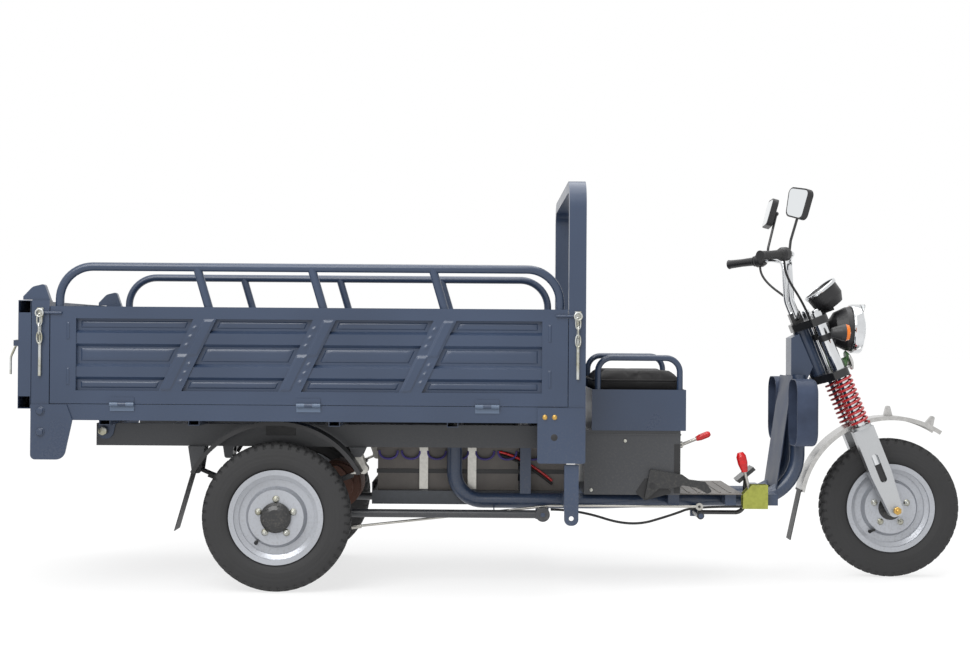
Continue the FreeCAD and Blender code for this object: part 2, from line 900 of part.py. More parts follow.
side_pieces = [pad, thrust_rear_pin] + ears
rear_axle = joined(axle_body, *side_pieces, *[mirrored(piece) for piece in side_pieces])

leaf_stack = leaf_count * leaf_thickness
main_leaf_low = pad_top + seat_gap + leaf_stack - leaf_thickness
camber = leaf_eye_height - main_leaf_low - leaf_thickness / 2
leaf_radius = ((leaf_span / 2) ** 2 + camber ** 2) / (2 * camber)
leaf_centre_z = main_leaf_low + leaf_thickness / 2 + leaf_radius
u_bolt_x = tube_r + u_bolt_diameter / 2 + running_gap
inner_radius = leaf_radius - leaf_thickness / 2
leaf_top = leaf_centre_z - math.sqrt(inner_radius ** 2 - (u_bolt_x + u_bolt_diameter / 2) ** 2)
u_bolt_top = leaf_top + u_bolt_diameter / 2 + seat_gap
u_bolt_y = leaf_half + u_bolt_diameter / 2 + running_gap
clamp_low = axle_height - tube_r - hanger_plate
u_bolts = []
for turn in (-1, 1):
    x = rear_axle_x + turn * u_bolt_x
    low = clamp_low - u_bolt_diameter
    u_path = [Vector(x, rail_y - u_bolt_y, low), Vector(x, rail_y - u_bolt_y, u_bolt_top),
              Vector(x, rail_y + u_bolt_y, u_bolt_top), Vector(x, rail_y + u_bolt_y, low)]
    u_bolts.append(pipe(u_path, u_bolt_diameter * u_bolt_bend_share, u_bolt_diameter / 2))
clamp_plate = box(rear_axle_x - pad_half, rear_axle_x + pad_half, rail_y - u_bolt_y - u_bolt_diameter,
                  rail_y + u_bolt_y + u_bolt_diameter, clamp_low, clamp_low + hanger_plate)
pad_slots = [
    rod(Vector(rear_axle_x + turn * u_bolt_x, rail_y + side * u_bolt_y, clamp_low - cut_overrun),
        Vector(rear_axle_x + turn * u_bolt_x, rail_y + side * u_bolt_y, pad_top + cut_overrun),
        u_bolt_diameter / 2 + seat_gap)
    for turn in (-1, 1) for side in (-1, 1)
]
clamp_plate = clamp_plate.cut(pad_slots)
rear_axle = rear_axle.cut(pad_slots + [mirrored(slot) for slot in pad_slots])
fasteners = [clamp_plate] + u_bolts
save("rear_axle", rear_axle, *[half for piece in fasteners for half in both_sides(piece)])

# Drive motor on the gear case, with cooling rings
motor_z = axle_height + motor_lift
motor_r = motor_diameter / 2
motor_profile = [(0, running_gap), (motor_r, running_gap)]
fin_pitch = motor_length / (motor_fin_count + 1)
for index in range(motor_fin_count):
    y = fin_pitch * (index + 1)
    motor_profile += [(motor_r, y - motor_fin_width / 2),
                      (motor_r + motor_fin_height, y - motor_fin_width / 2),
                      (motor_r + motor_fin_height, y + motor_fin_width / 2),
                      (motor_r, y + motor_fin_width / 2)]
motor_profile += [(motor_r, motor_length), (motor_r * motor_end_share, motor_length + motor_fin_height),
                  (0, motor_length + motor_fin_height)]
motor = turned(motor_profile, Vector(motor_x, 0, motor_z))
plate_rise = case_r * gear_plate_share
gear_plate = flat_xz(
    [(rear_axle_x + tube_r, axle_height - plate_rise), (motor_x, motor_z - motor_r),
     (motor_x + motor_r, motor_z),
     (motor_x, motor_z + motor_r), (rear_axle_x + tube_r, axle_height + plate_rise)],
    -case_flat, running_gap, [motor_r * share for share in gear_plate_corner_shares])
save("drive_motor", joined(motor, gear_plate).cut(axle_body))

# Leaf springs: stepped packs with rolled eyes, and the swinging shackles at their front ends
eye_r = leaf_eye_outside / 2
pin_r = leaf_eye_bore / 2
leaves = []
down = FULL_TURN - QUARTER_TURN
half_turn = math.degrees(math.asin(leaf_span / 2 / leaf_radius))
for index in range(leaf_count):
    inner = leaf_radius - leaf_thickness / 2 + index * leaf_thickness
    reach = half_turn * (1 - index * leaf_step_share)
    leaves.append(band(rear_axle_x, leaf_centre_z, inner, inner + leaf_thickness, down - reach, down + reach,
                       rail_y - leaf_half, rail_y + leaf_half))
eye_places = [Vector(rear_axle_x + turn * leaf_span / 2, 0, leaf_eye_height) for turn in (-1, 1)]
y_in = Vector(0, rail_y - leaf_half, 0)
y_out = Vector(0, rail_y + leaf_half, 0)
over = Vector(0, cut_overrun, 0)
eyes = [rod(place + y_in, place + y_out, eye_r) for place in eye_places]
bores = [rod(place + y_in - over, place + y_out + over, pin_r) for place in eye_places]
leaf_pack = joined(leaves[0], *leaves[1:], *eyes).cut(bores)

shackle_lean = math.radians(shackle_lean_angle)
front_eye = eye_places[1]
shackle_top = front_eye + Vector(-shackle_length * math.sin(shackle_lean), 0,
                                 shackle_length * math.cos(shackle_lean))
pin_clear = hub_bore_clearance
shackle_y = leaf_half + running_gap


def shackle(turn):
    """Flat link with round ends, beside the spring eye."""
    inside = rail_y + turn * shackle_y
    outside = rail_y + turn * (shackle_y + shackle_plate)
    side = Vector(math.cos(shackle_lean), 0, math.sin(shackle_lean)) * (shackle_width / 2)
    depth = Vector(0, outside - inside, 0)
    corners = [point + Vector(0, inside, 0) for point in
               (front_eye - side, front_eye + side, shackle_top + side, shackle_top - side)]
    plate = slab(corners, 0, depth)
    ends = [Part.makeCylinder(shackle_width / 2, shackle_plate, place + Vector(0, min(inside, outside), 0),
                              Y_AXIS)
            for place in (front_eye, shackle_top)]
    hole = rod(shackle_top + Vector(0, inside, 0) - depth, shackle_top + Vector(0, outside, 0) + depth,
               pin_r)
    return joined(plate, *ends).cut(hole)


shackle_pin = rod(front_eye + Vector(0, rail_y - shackle_y - shackle_plate / 2, 0),
                  front_eye + Vector(0, rail_y + shackle_y + shackle_plate / 2, 0), pin_r - pin_clear)
shackle_pair = joined(shackle(-1), shackle(1), shackle_pin)
save("leaf_springs", *both_sides(leaf_pack), *both_sides(shackle_pair))


# Ladder chassis: two box rails, cross tubes, spring hangers and the tip pivot pins
rail_back_x = tip_pivot_x - rail_tail
rail_length = rail_front_x - rail_back_x
rail_half = rail_width / 2
rail = box_tube(rail_back_x, rail_front_x, rail_y - rail_half, rail_y + rail_half, rail_bottom, rail_top,
                rail_wall, "x")
cross_half = cross_tube_width / 2
cross_low = rail_top - (rail_height + cross_tube_height) / 2
cross_high = cross_low + cross_tube_height
cross_places = [rail_back_x + share * rail_length for share in cross_tube_shares] + [main_tube_rear_x]
cross_tubes = [
    box_tube(x - cross_half, x + cross_half, rail_half - rail_y, rail_y - rail_half, cross_low, cross_high,
             rail_wall, "y")
    for x in cross_places
]
tip_pin_end = rail_y + rail_half + tip_ear_thickness + running_gap + hanger_plate
tip_place = Vector(tip_pivot_x, 0, tip_pivot_z)
tip_pin = rod(tip_place + Vector(0, rail_y - rail_half, 0), tip_place + Vector(0, tip_pin_end, 0),
              tip_pin_diameter / 2)
tip_nut = rod(tip_place + Vector(0, tip_pin_end - hanger_plate + running_gap, 0),
              tip_place + Vector(0, tip_pin_end, 0), tip_pin_diameter * tip_nut_share)


def hanger(place, turn, low):
    """Plate from the rail down to a spring pin."""
    inside = rail_y + turn * (shackle_y + shackle_plate + running_gap)
    outside = inside + turn * hanger_plate
    half = hanger_width / 2
    outline = [(place.x - half, rail_bottom), (place.x + half, rail_bottom),
               (place.x + half / 2, low), (place.x - half / 2, low)]
    return flat_xz(outline, min(inside, outside), max(inside, outside), [0, 0, half / 3, half / 3])


hanger_y = shackle_y + shackle_plate + running_gap + hanger_plate
hanger_root = [
    box(place.x - hanger_width / 2, place.x + hanger_width / 2, rail_y - hanger_y, rail_y + hanger_y,
        rail_bottom - hanger_plate / 2, rail_bottom)
    for place in (eye_places[0], shackle_top)
]
hangers = [hanger(eye_places[0], turn, leaf_eye_height - eye_r) for turn in (-1, 1)]
hangers += [hanger(shackle_top, turn, shackle_top.z - shackle_width / 2) for turn in (-1, 1)]
hanger_pins = [
    rod(place + Vector(0, rail_y - hanger_y, 0), place + Vector(0, rail_y + hanger_y, 0), pin_r - pin_clear)
    for place in (eye_places[0], shackle_top)
]
chassis_side = [rail, tip_pin, tip_nut] + hanger_root + hangers + hanger_pins
chassis = joined(cross_tubes[0], *cross_tubes[1:], *chassis_side,
                 *[mirrored(piece) for piece in chassis_side])
save("chassis_ladder", chassis)

# Main frame: bent tubes from the ladder to the neck, head tube, cross tubes, uprights and side posts
tube_top = main_tube_height + tube_radius
tube_bottom = main_tube_height - tube_radius
neck_y = neck_spread / 2
taper_x = seat_box_back_x + cross_tube_width
taper_end_x = main_tube_front_x - main_tube_front_run
front_y = neck_y + tube_radius + fender_side_gap
tube_route = [
    Vector(main_tube_rear_x, tube_y, cross_low), Vector(main_tube_rear_x, tube_y, main_tube_height),
    Vector(taper_x, tube_y, main_tube_height), Vector(taper_end_x, front_y, main_tube_height),
    Vector(main_tube_front_x, front_y, main_tube_height), Vector(neck_x, neck_y, neck_height),
]
tube_bends = [0, main_tube_rear_bend, main_tube_front_bend * 2, main_tube_front_bend * 2,
              main_tube_front_bend, 0]
main_tube = pipe(tube_route, tube_bends, tube_radius, main_tube_wall)
main_bars = both_sides(pipe(tube_route, tube_bends, tube_radius))

head_low = lower_clamp_along + clamp_thickness / 2 + running_gap
head_high = upper_clamp_along - clamp_thickness / 2 - running_gap
head_r = head_tube_diameter / 2
cup = stem_diameter / 2 + hub_bore_clearance
head_axis = Vector(-stem_offset, 0, 0)
head_bar = Part.makeCylinder(head_r, head_high - head_low, head_axis + Vector(0, 0, head_low))
head_bore = Part.makeCylinder(head_r - head_tube_wall, head_high - head_low - head_tube_diameter,
                              head_axis + Vector(0, 0, head_low + head_r))
head_cups = Part.makeCylinder(cup, head_high - head_low + 2 * cut_overrun,
                              head_axis + Vector(0, 0, head_low - cut_overrun))
head_bar = in_fork(head_bar)
head_hollow = [in_fork(head_bore), in_fork(head_cups)]
head_foot = fork_point(-stem_offset, 0, head_low)
head_peak = fork_point(-stem_offset, 0, head_high)
gusset_outline = [
    (neck_x - tube_radius, neck_height - tube_radius * 2), (neck_x + tube_radius, neck_height - tube_radius),
    (head_foot.x - head_r, head_foot.z + head_r), (head_peak.x - head_r / 2, head_peak.z - head_r / 2),
    (neck_x - tube_radius, head_peak.z - head_r),
]
gusset = flat_xz(gusset_outline, -neck_y, neck_y)
floor_half = floor_cross_tube / 2
floor_cross_y = floor_board_width / 2 - floor_half
gear_bar_x = gear_box_x + gear_box_length / 2 + floor_half
floor_cross_places = [seat_box_back_x + floor_cross_tube, floor_board_back_x - floor_half,
                      floor_board_back_x + floor_board_length - floor_cross_tube, gear_bar_x]
floor_crosses = [
    box(x - floor_half, x + floor_half, -floor_cross_y, floor_cross_y, tube_top - floor_cross_tube, tube_top)
    for x in floor_cross_places
]
upright_x = cross_places[2]
upright = box(upright_x - floor_half, upright_x + floor_half, tube_y - floor_half / 2,
              tube_y + floor_half / 2,
              main_tube_height, cross_low)
post_half = side_post_width / 2
post_out = half_bed - corner_plate_thickness
post_in = post_out - side_post_depth
side_post = box_tube(side_post_x - post_half, side_post_x + post_half, post_in, post_out,
                     side_post_bottom + side_post_width, side_post_top, side_post_wall, "z")
ear_low = side_post_bottom + post_half
post_ear = flat_xz(
    [(side_post_x - post_half, side_post_bottom), (side_post_x + post_half, side_post_bottom),
     (side_post_x + post_half, side_post_bottom + side_post_width + post_half),
     (side_post_x - post_half, side_post_bottom + side_post_width + post_half)],
    post_out - side_post_wall * 2, post_out, [post_half * post_ear_round_share,
                                              post_half * post_ear_round_share, 0, 0])
ear_hole = rod(Vector(side_post_x, post_in, ear_low), Vector(side_post_x, half_bed, ear_low),
               side_post_hole / 2)
outrigger = box(side_post_x - floor_half, side_post_x + floor_half, tube_y, post_in + side_post_wall,
                main_tube_height - outrigger_height / 2 + tube_radius / 2,
                main_tube_height + outrigger_height / 2 + tube_radius / 2)
bracket_half = thrust_pin * thrust_bracket_share
thrust_bracket = box(thrust_front_x - bracket_half, thrust_front_x + bracket_half, tube_y - floor_half / 2,
                     tube_y + floor_half / 2, thrust_height - bracket_half, main_tube_height)
thrust_front_pin = rod(Vector(thrust_front_x, tube_y, thrust_height),
                       Vector(thrust_front_x, thrust_y + thrust_half + thrust_clearance, thrust_height),
                       thrust_r - hub_bore_clearance)
taper_share = (pedal_pivot_x - taper_x) / (taper_end_x - taper_x)
pedal_tube_y = tube_y + (front_y - tube_y) * taper_share
pedal_place = Vector(pedal_pivot_x, 0, pedal_pivot_height)
pedal_bracket = box(pedal_pivot_x - pedal_shaft_diameter, pedal_pivot_x + pedal_shaft_diameter,
                    -pedal_tube_y - floor_half / 2, floor_half / 2 - pedal_tube_y,
                    pedal_pivot_height - pedal_shaft_diameter, main_tube_height)
pedal_pin = rod(pedal_place - Vector(0, pedal_tube_y, 0),
                pedal_place + Vector(0, brake_rod_y - pedal_shaft_diameter, 0),
                pedal_shaft_diameter / 2 - hub_bore_clearance)
rod_bend_x = thrust_front_x + thrust_pin * 2
crank_rise = pedal_crank * math.cos(math.radians(pedal_swing / 2))
rod_line_high = Vector(rod_bend_x, brake_rod_y, pedal_pivot_height + crank_rise)
rod_line_low = Vector(brake_rod_end_x, brake_rod_y, brake_rod_end_height)
guide_share = (brake_guide_x - brake_rod_end_x) / (rod_bend_x - brake_rod_end_x)
guide_z = brake_rod_end_height + guide_share * (rod_line_high.z - brake_rod_end_height)
guide_half = brake_rod_diameter * guide_plate_share
guide_round = guide_half * guide_round_share
guide_outline = [(-tube_y, main_tube_height), (-tube_y, tube_bottom),
                 (brake_rod_y - guide_half, guide_z - guide_half),
                 (brake_rod_y - guide_half, guide_z + guide_half)]
guide_plate = flat_yz(guide_outline, brake_guide_x, brake_guide_x + hanger_plate / 2,
                      [0, 0, guide_round, guide_round])
guide_plate = guide_plate.cut(rod(rod_line_low, rod_line_high,
                                  brake_rod_diameter / 2 + brake_guide_clearance))
side_post = joined(side_post, post_ear, outrigger).cut(ear_hole)
head = joined(head_bar, gusset).cut(head_hollow + main_bars)
welded_on = floor_crosses + [joined(pedal_bracket, pedal_pin), guide_plate]
for piece in (side_post, upright, joined(thrust_bracket, thrust_front_pin)):
    welded_on += both_sides(piece)
welded_on = [piece.cut(main_bars) for piece in welded_on]
save("main_frame", *both_sides(main_tube.cut(head_bar)), head, *welded_on)

# Batteries on a tray between the main tubes, held by two straps
tray_top = main_tube_height + tube_radius + tray_sheet
tray_out = tube_y - tube_radius - seat_gap
tray_back_x = battery_back_x - tray_beam_width / 2
tray_front_x = battery_back_x + battery_run + tray_beam_width / 2
tray_low = tray_top - tray_beam_height
tray_channel = box(tray_back_x, tray_front_x, tray_out - tray_beam_width, tray_out, tray_low,
                   tray_top - tray_sheet)
tray_channel = tray_channel.cut(
    box(tray_back_x - cut_overrun, tray_front_x + cut_overrun, tray_out - tray_beam_width - cut_overrun,
        tray_out - tray_sheet, tray_low + tray_sheet, tray_top - 2 * tray_sheet))
tray_floor = box(tray_back_x, tray_front_x, -tray_out, tray_out, tray_top - tray_sheet, tray_top)
tray_ends = [box(x - tray_sheet / 2, x + tray_sheet / 2, -tray_out, tray_out, tray_top,
                 tray_top + tray_beam_width)
             for x in (tray_back_x + tray_sheet / 2, tray_front_x - tray_sheet / 2)]
battery_half = battery_length / 2
battery_top = tray_top + battery_height
straps = []
for index in (1, 2):
    x = battery_back_x + index * (battery_width + battery_gap) - battery_gap / 2
    strap_y = battery_half + battery_gap
    outer = box(x - tray_strap_width / 2, x + tray_strap_width / 2, -strap_y, strap_y, tray_top,
                battery_top + running_gap + tray_strap_sheet)
    hollow = box(x - tray_strap_width, x + tray_strap_width, tray_strap_sheet - strap_y,
                 strap_y - tray_strap_sheet,
                 tray_top - cut_overrun, battery_top + running_gap)
    straps.append(outer.cut(hollow))
tray = joined(tray_floor, tray_channel, mirrored(tray_channel), *tray_ends)
save("battery_tray", tray, *straps)
batteries = []
for index in range(battery_count):
    x = battery_back_x + index * (battery_width + battery_gap)
    lid_z = battery_top - battery_lid
    case = box(x + battery_lid_step, x + battery_width - battery_lid_step, battery_lid_step - battery_half,
               battery_half - battery_lid_step, tray_top, lid_z)
    lid = box(x, x + battery_width, -battery_half, battery_half, lid_z, battery_top)
    batteries.append(joined(case, lid))
save("batteries", *batteries)


# Seat: sheet-metal box, open pan with side hoops, and a cushion
seat_base = tube_top + seat_gap
box_top = seat_base + seat_box_height
box_front_x = seat_box_back_x + seat_box_length
box_half = seat_box_width / 2
seat_box = box(seat_box_back_x, box_front_x, -box_half, box_half, seat_base, box_top)
seat_box = seat_box.cut(box(seat_box_back_x + seat_box_sheet, box_front_x - seat_box_sheet,
                            seat_box_sheet - box_half, box_half - seat_box_sheet,
                            seat_base - cut_overrun, box_top - seat_box_sheet))
band_z = box_top - seat_box_band * 2
seat_band = box(seat_box_back_x - seat_box_sheet, box_front_x + seat_box_sheet, -box_half - seat_box_sheet,
                box_half + seat_box_sheet, band_z - seat_box_band, band_z)
seat_band = seat_band.cut(box(seat_box_back_x, box_front_x, -box_half, box_half, seat_base, box_top))
dump_place = Vector(box_front_x + dump_rod_diameter, dump_lever_y, dump_pivot_height)
dump_boss_half = dump_rod_diameter / 2
dump_lug = box(box_front_x, dump_place.x + dump_boss_half, dump_lever_y + dump_boss_half + running_gap,
               dump_lever_y + dump_boss_half * dump_lug_share, dump_pivot_height - dump_rod_diameter,
               dump_pivot_height + dump_rod_diameter)
dump_pin = rod(dump_place + Vector(0, dump_boss_half * 2, 0), dump_place - Vector(0, dump_boss_half, 0),
               dump_boss_half / 2 - hub_bore_clearance)
save("seat_box", joined(seat_box, seat_band, dump_lug, dump_pin))

pan_back_x = seat_box_back_x + seat_pan_forward
pan_front_x = pan_back_x + seat_pan_length
pan_half = seat_pan_width / 2
pan_low = box_top
pan_top = pan_low + seat_pan_height
pan_outer = box(pan_back_x, pan_front_x, -pan_half, pan_half, pan_low, pan_top)
upper_hollow = box(pan_back_x + seat_pan_sheet, pan_front_x - seat_pan_sheet, seat_pan_sheet - pan_half,
                   pan_half - seat_pan_sheet, pan_low + seat_pan_floor, pan_top + cut_overrun)
lower_hollow = box(pan_back_x + seat_pan_sheet, pan_front_x - seat_pan_sheet, seat_pan_sheet - pan_half,
                   pan_half - seat_pan_sheet, pan_low + seat_pan_sheet,
                   pan_low + seat_pan_floor - seat_pan_sheet)
seat_pan = pan_outer.cut([upper_hollow, lower_hollow])
hoop_y = pan_half - seat_pan_sheet - seat_hoop_tube / 2
hoop_low = pan_low + seat_pan_floor
hoop_x0 = pan_back_x + seat_hoop_tube
hoop_x1 = pan_front_x - seat_hoop_tube
hoop_z = pan_top + seat_hoop_rise
seat_hoop = pipe([Vector(hoop_x0, hoop_y, hoop_low), Vector(hoop_x0, hoop_y, hoop_z),
                  Vector(hoop_x1, hoop_y, hoop_z), Vector(hoop_x1, hoop_y, hoop_low)],
                 seat_hoop_bend, seat_hoop_tube / 2)
save("seat_pan", seat_pan, *both_sides(seat_hoop))


def cushion_ring(share, z):
    """Four sides bowed a little inwards, scaled about the seat's middle."""
    middle_x = (pan_back_x + pan_front_x) / 2
    long = (seat_pan_length / 2 - seat_pan_sheet - cushion_clearance) * share
    wide = (hoop_y - seat_hoop_tube / 2 - cushion_clearance) * share
    tuck = cushion_side_tuck * share
    corners = [(-long, -wide), (long, -wide), (long, wide), (-long, wide)]
    middles = [(0, tuck - wide), (long - tuck, 0), (0, wide - tuck), (tuck - long, 0)]
    edges = []
    for index, (x, y) in enumerate(corners):
        end_x, end_y = corners[(index + 1) % len(corners)]
        mid_x, mid_y = middles[index]
        edges.append(Part.Arc(Vector(middle_x + x, y, z), Vector(middle_x + mid_x, mid_y, z),
                              Vector(middle_x + end_x, end_y, z)).toShape())
    return Part.Wire(edges)


cushion_low = hoop_low + seat_gap
cushion_heights = (0, cushion_edge * cushion_edge_share, cushion_edge,
                   cushion_edge + cushion_crown * cushion_crown_share,
                   cushion_edge + cushion_crown)
cushion = Part.makeLoft([cushion_ring(share, cushion_low + height)
                         for share, height in zip(cushion_shares, cushion_heights)], True, False)
save("seat_cushion", cushion)

# Floor board: ribbed plate on the main tubes
board_half = floor_board_width / 2
board_low = tube_top + seat_gap
board_front_x = floor_board_back_x + floor_board_length
floor_board = box(floor_board_back_x, board_front_x, -board_half, board_half, board_low,
                  board_low + floor_board_sheet)
rib_pitch = floor_board_length / (floor_board_ribs + 1)
rib_places = [floor_board_back_x + rib_pitch * (index + 1) for index in range(floor_board_ribs)]
floor_ribs = [
    box(x - floor_board_sheet, x + floor_board_sheet, rib_pitch - board_half, board_half - rib_pitch,
        board_low + floor_board_sheet, board_low + floor_board_sheet * floor_rib_share)
    for x in rib_places
]
save("floor_board", joined(floor_board, *floor_ribs))

# Leg shield: leaning centre panel between two rounded knee pockets that open to the rider
shield_bottom_x = shield_top_x - shield_lean
shield_half = shield_width / 2
centre_panel = flat_xz([(shield_bottom_x, shield_bottom), (shield_bottom_x + shield_sheet, shield_bottom),
                        (shield_top_x + shield_sheet, shield_top), (shield_top_x, shield_top)],
                       -shield_half, shield_half)
knee_in = shield_half - shield_sheet
knee_out = knee_in + knee_width
knee_top = knee_bottom + knee_height


def knee_block(inset, x0, x1):
    """Rounded block of the knee pocket, drawn in by an inset on every side."""
    corners = [(knee_in + inset, knee_bottom + inset), (knee_out - inset, knee_bottom + inset),
               (knee_out - inset, knee_top - inset), (knee_in + inset, knee_top - inset)]
    return flat_yz(corners, x0, x1, knee_corner - inset)


knee_front_x = knee_back_x + knee_depth
knee = knee_block(0, knee_back_x - knee_depth / 4, knee_front_x)
front_edges = [edge for edge in knee.Edges if edge.BoundBox.XMin > knee_front_x - shield_sheet]
knee = knee.makeFillet(knee_depth / 4, front_edges)
knee = knee.cut(knee_block(shield_sheet, knee_back_x - knee_depth, knee_front_x - knee_depth / 4))
standoffs = []
for share in shield_standoff_shares:
    z = main_tube_height + share * (neck_height - main_tube_height)
    spot = Vector(main_tube_front_x + share * (neck_x - main_tube_front_x),
                  front_y + share * (neck_y - front_y), z)
    panel_x = shield_bottom_x + shield_lean * (z - shield_bottom) / (shield_top - shield_bottom)
    standoffs.append(rod(Vector(panel_x + shield_sheet / 2, spot.y, z),
                         spot - X_AXIS * (tube_radius + seat_gap),
                         shield_standoff / 2))
shield = joined(centre_panel, knee, mirrored(knee), *standoffs, *[mirrored(piece) for piece in standoffs])
save("leg_shield", shield)

# Rear fenders with a returned outer edge, rail tabs and hanging flaps
rear_out_r = rear_fender_radius + rear_fender_sheet
fender_in = wheel_y - rear_fender_width / 2
fender_out = wheel_y + rear_fender_width / 2
arch = band(rear_axle_x, axle_height, rear_fender_radius, rear_out_r, rear_fender_front_angle,
            rear_fender_rear_angle, fender_in, fender_out)
lip = band(rear_axle_x, axle_height, rear_fender_radius - rear_fender_rib, rear_fender_radius,
           rear_fender_front_angle, rear_fender_rear_angle, fender_out - rear_fender_sheet * 2, fender_out)
tab_turn = rear_fender_tab_angle
rail_side = rail_y + rail_half
arch_tab = band(rear_axle_x, axle_height, rear_fender_radius, rear_out_r, QUARTER_TURN - tab_turn,
                QUARTER_TURN + tab_turn, rail_side + seat_gap, fender_in)
tab_half = rear_fender_radius * math.sin(math.radians(tab_turn))
tab_top = axle_height + rear_out_r * math.cos(math.radians(tab_turn))
rail_tab = box(rear_axle_x - tab_half, rear_axle_x + tab_half, rail_side + seat_gap,
               rail_side + seat_gap + rear_fender_sheet * 2, rail_top - rail_height / 2, tab_top)
flap_top = polar(rear_axle_x, axle_height, rear_fender_radius, rear_fender_rear_angle)
flap_run = Vector(-math.sin(math.radians(rear_flap_lean)), 0, -math.cos(math.radians(rear_flap_lean)))
flap_thick = Vector(mudflap_sheet, 0, 0)
flap_root = flap_top - flap_run * mudflap_sheet * 2
flap_tip = flap_top + flap_run * rear_flap_length
flap = slab([point + Vector(0, fender_in + rear_fender_sheet * 2, 0) for point in
             (flap_root, flap_root + flap_thick, flap_tip + flap_thick, flap_tip)], 0,
            Vector(0, rear_fender_width - rear_fender_sheet * 6, 0)).cut(arch)
rear_fender = joined(arch, lip, arch_tab, rail_tab)
save("rear_fenders", *both_sides(rear_fender), *both_sides(flap))


# Cargo bed: hollow sills, cross tubes, ribbed floor sheet, tip ears and tailgate hinge lugs in one weldment
bed_in = half_bed - bed_section
sill = box_tube(post_back_x, hoop_front_x, bed_in, half_bed, sill_bottom, sill_top, sill_wall, "x")
end_sills = [box_tube(x, x + bed_section, -bed_in, bed_in, sill_bottom, bed_cross_top, sill_wall, "y")
             for x in (post_back_x, hoop_front_x - bed_section)]
bed_crosses = []
for share in bed_cross_shares:
    x = post_back_x + share * bed_length
    bed_crosses.append(box_tube(x - bed_cross_width / 2, x + bed_cross_width / 2, -bed_in, bed_in,
                                bed_cross_bottom, bed_cross_top, bed_cross_wall, "y"))
bed_floor = box(post_back_x, hoop_front_x, -bed_in, bed_in, bed_cross_top, floor_top)
floor_pitch = 2 * bed_in / (floor_rib_count + 1)
floor_ribs = [
    box(post_front_x, hoop_back_x - bed_section, floor_pitch * (index + 1) - bed_in - floor_rib_width / 2,
        floor_pitch * (index + 1) - bed_in + floor_rib_width / 2, floor_top, floor_top + floor_rib_height)
    for index in range(floor_rib_count)
]
ear_in = rail_side + running_gap / 2
tip_ear_round = tip_ear_radius * tip_ear_round_share
ear_front_x = post_back_x + bed_cross_shares[0] * bed_length + bed_cross_width / 2
tip_ear = flat_xz(
    [(tip_pivot_x - tip_ear_radius, tip_pivot_z - tip_ear_radius),
     (tip_pivot_x + tip_ear_radius, tip_pivot_z - tip_ear_radius), (ear_front_x, bed_cross_top),
     (tip_pivot_x, bed_cross_top)],
    ear_in, ear_in + tip_ear_thickness, [tip_ear_round, tip_ear_round, 0, 0])
tip_ear = tip_ear.cut(rod(tip_place + Vector(0, ear_in - cut_overrun, 0),
                          tip_place + Vector(0, ear_in + tip_ear_thickness + cut_overrun, 0),
                          tip_pin_diameter / 2 + hub_bore_clearance))

tailgate_low = bed_cross_top
tailgate_top = bed_top_height + tailgate_above_side
tailgate_mid_x = (tailgate_back_x + tailgate_front_x) / 2
gate_axis_z = tailgate_low - tailgate_hinge_drop
gate_pin_r = tailgate_hinge_pin / 2


def gate_knuckle(y0, y1, root):
    """Round knuckle of the tailgate hinge with the lug that carries it."""
    start = Vector(tailgate_mid_x, y0, gate_axis_z)
    end = Vector(tailgate_mid_x, y1, gate_axis_z)
    knuckle = rod(start, end, tailgate_hinge_radius)
    return joined(knuckle, root)


gate_pieces = []
gate_knuckles = []
third = tailgate_hinge_length / 3
for share in tailgate_hinge_shares:
    y = (share * 2 - 1) * half_bed
    for start in (y - tailgate_hinge_length / 2, y + tailgate_hinge_length / 2 - third):
        lug = box(tailgate_mid_x, post_back_x, start, start + third, gate_axis_z - tailgate_hinge_radius,
                  gate_axis_z + tailgate_hinge_radius)
        gate_pieces.append(gate_knuckle(start, start + third, lug))
    pin_start = y - tailgate_hinge_length / 2
    gate_pieces.append(rod(Vector(tailgate_mid_x, pin_start, gate_axis_z),
                           Vector(tailgate_mid_x, pin_start + tailgate_hinge_length, gate_axis_z),
                           gate_pin_r))
    low = y - third / 2 + running_gap
    high = y + third / 2 - running_gap
    root = box(tailgate_mid_x - tailgate_hinge_radius, tailgate_mid_x + tailgate_hinge_radius, low, high,
               gate_axis_z,
               tailgate_low)
    bore = rod(Vector(tailgate_mid_x, low - cut_overrun, gate_axis_z),
               Vector(tailgate_mid_x, high + cut_overrun, gate_axis_z), gate_pin_r + hub_bore_clearance)
    gate_knuckles.append(gate_knuckle(low, high, root).cut(bore))
bed_base = joined(bed_floor, sill, mirrored(sill), tip_ear, mirrored(tip_ear), *end_sills, *bed_crosses,
                  *floor_ribs, *gate_pieces)
save("bed_floor", bed_base)

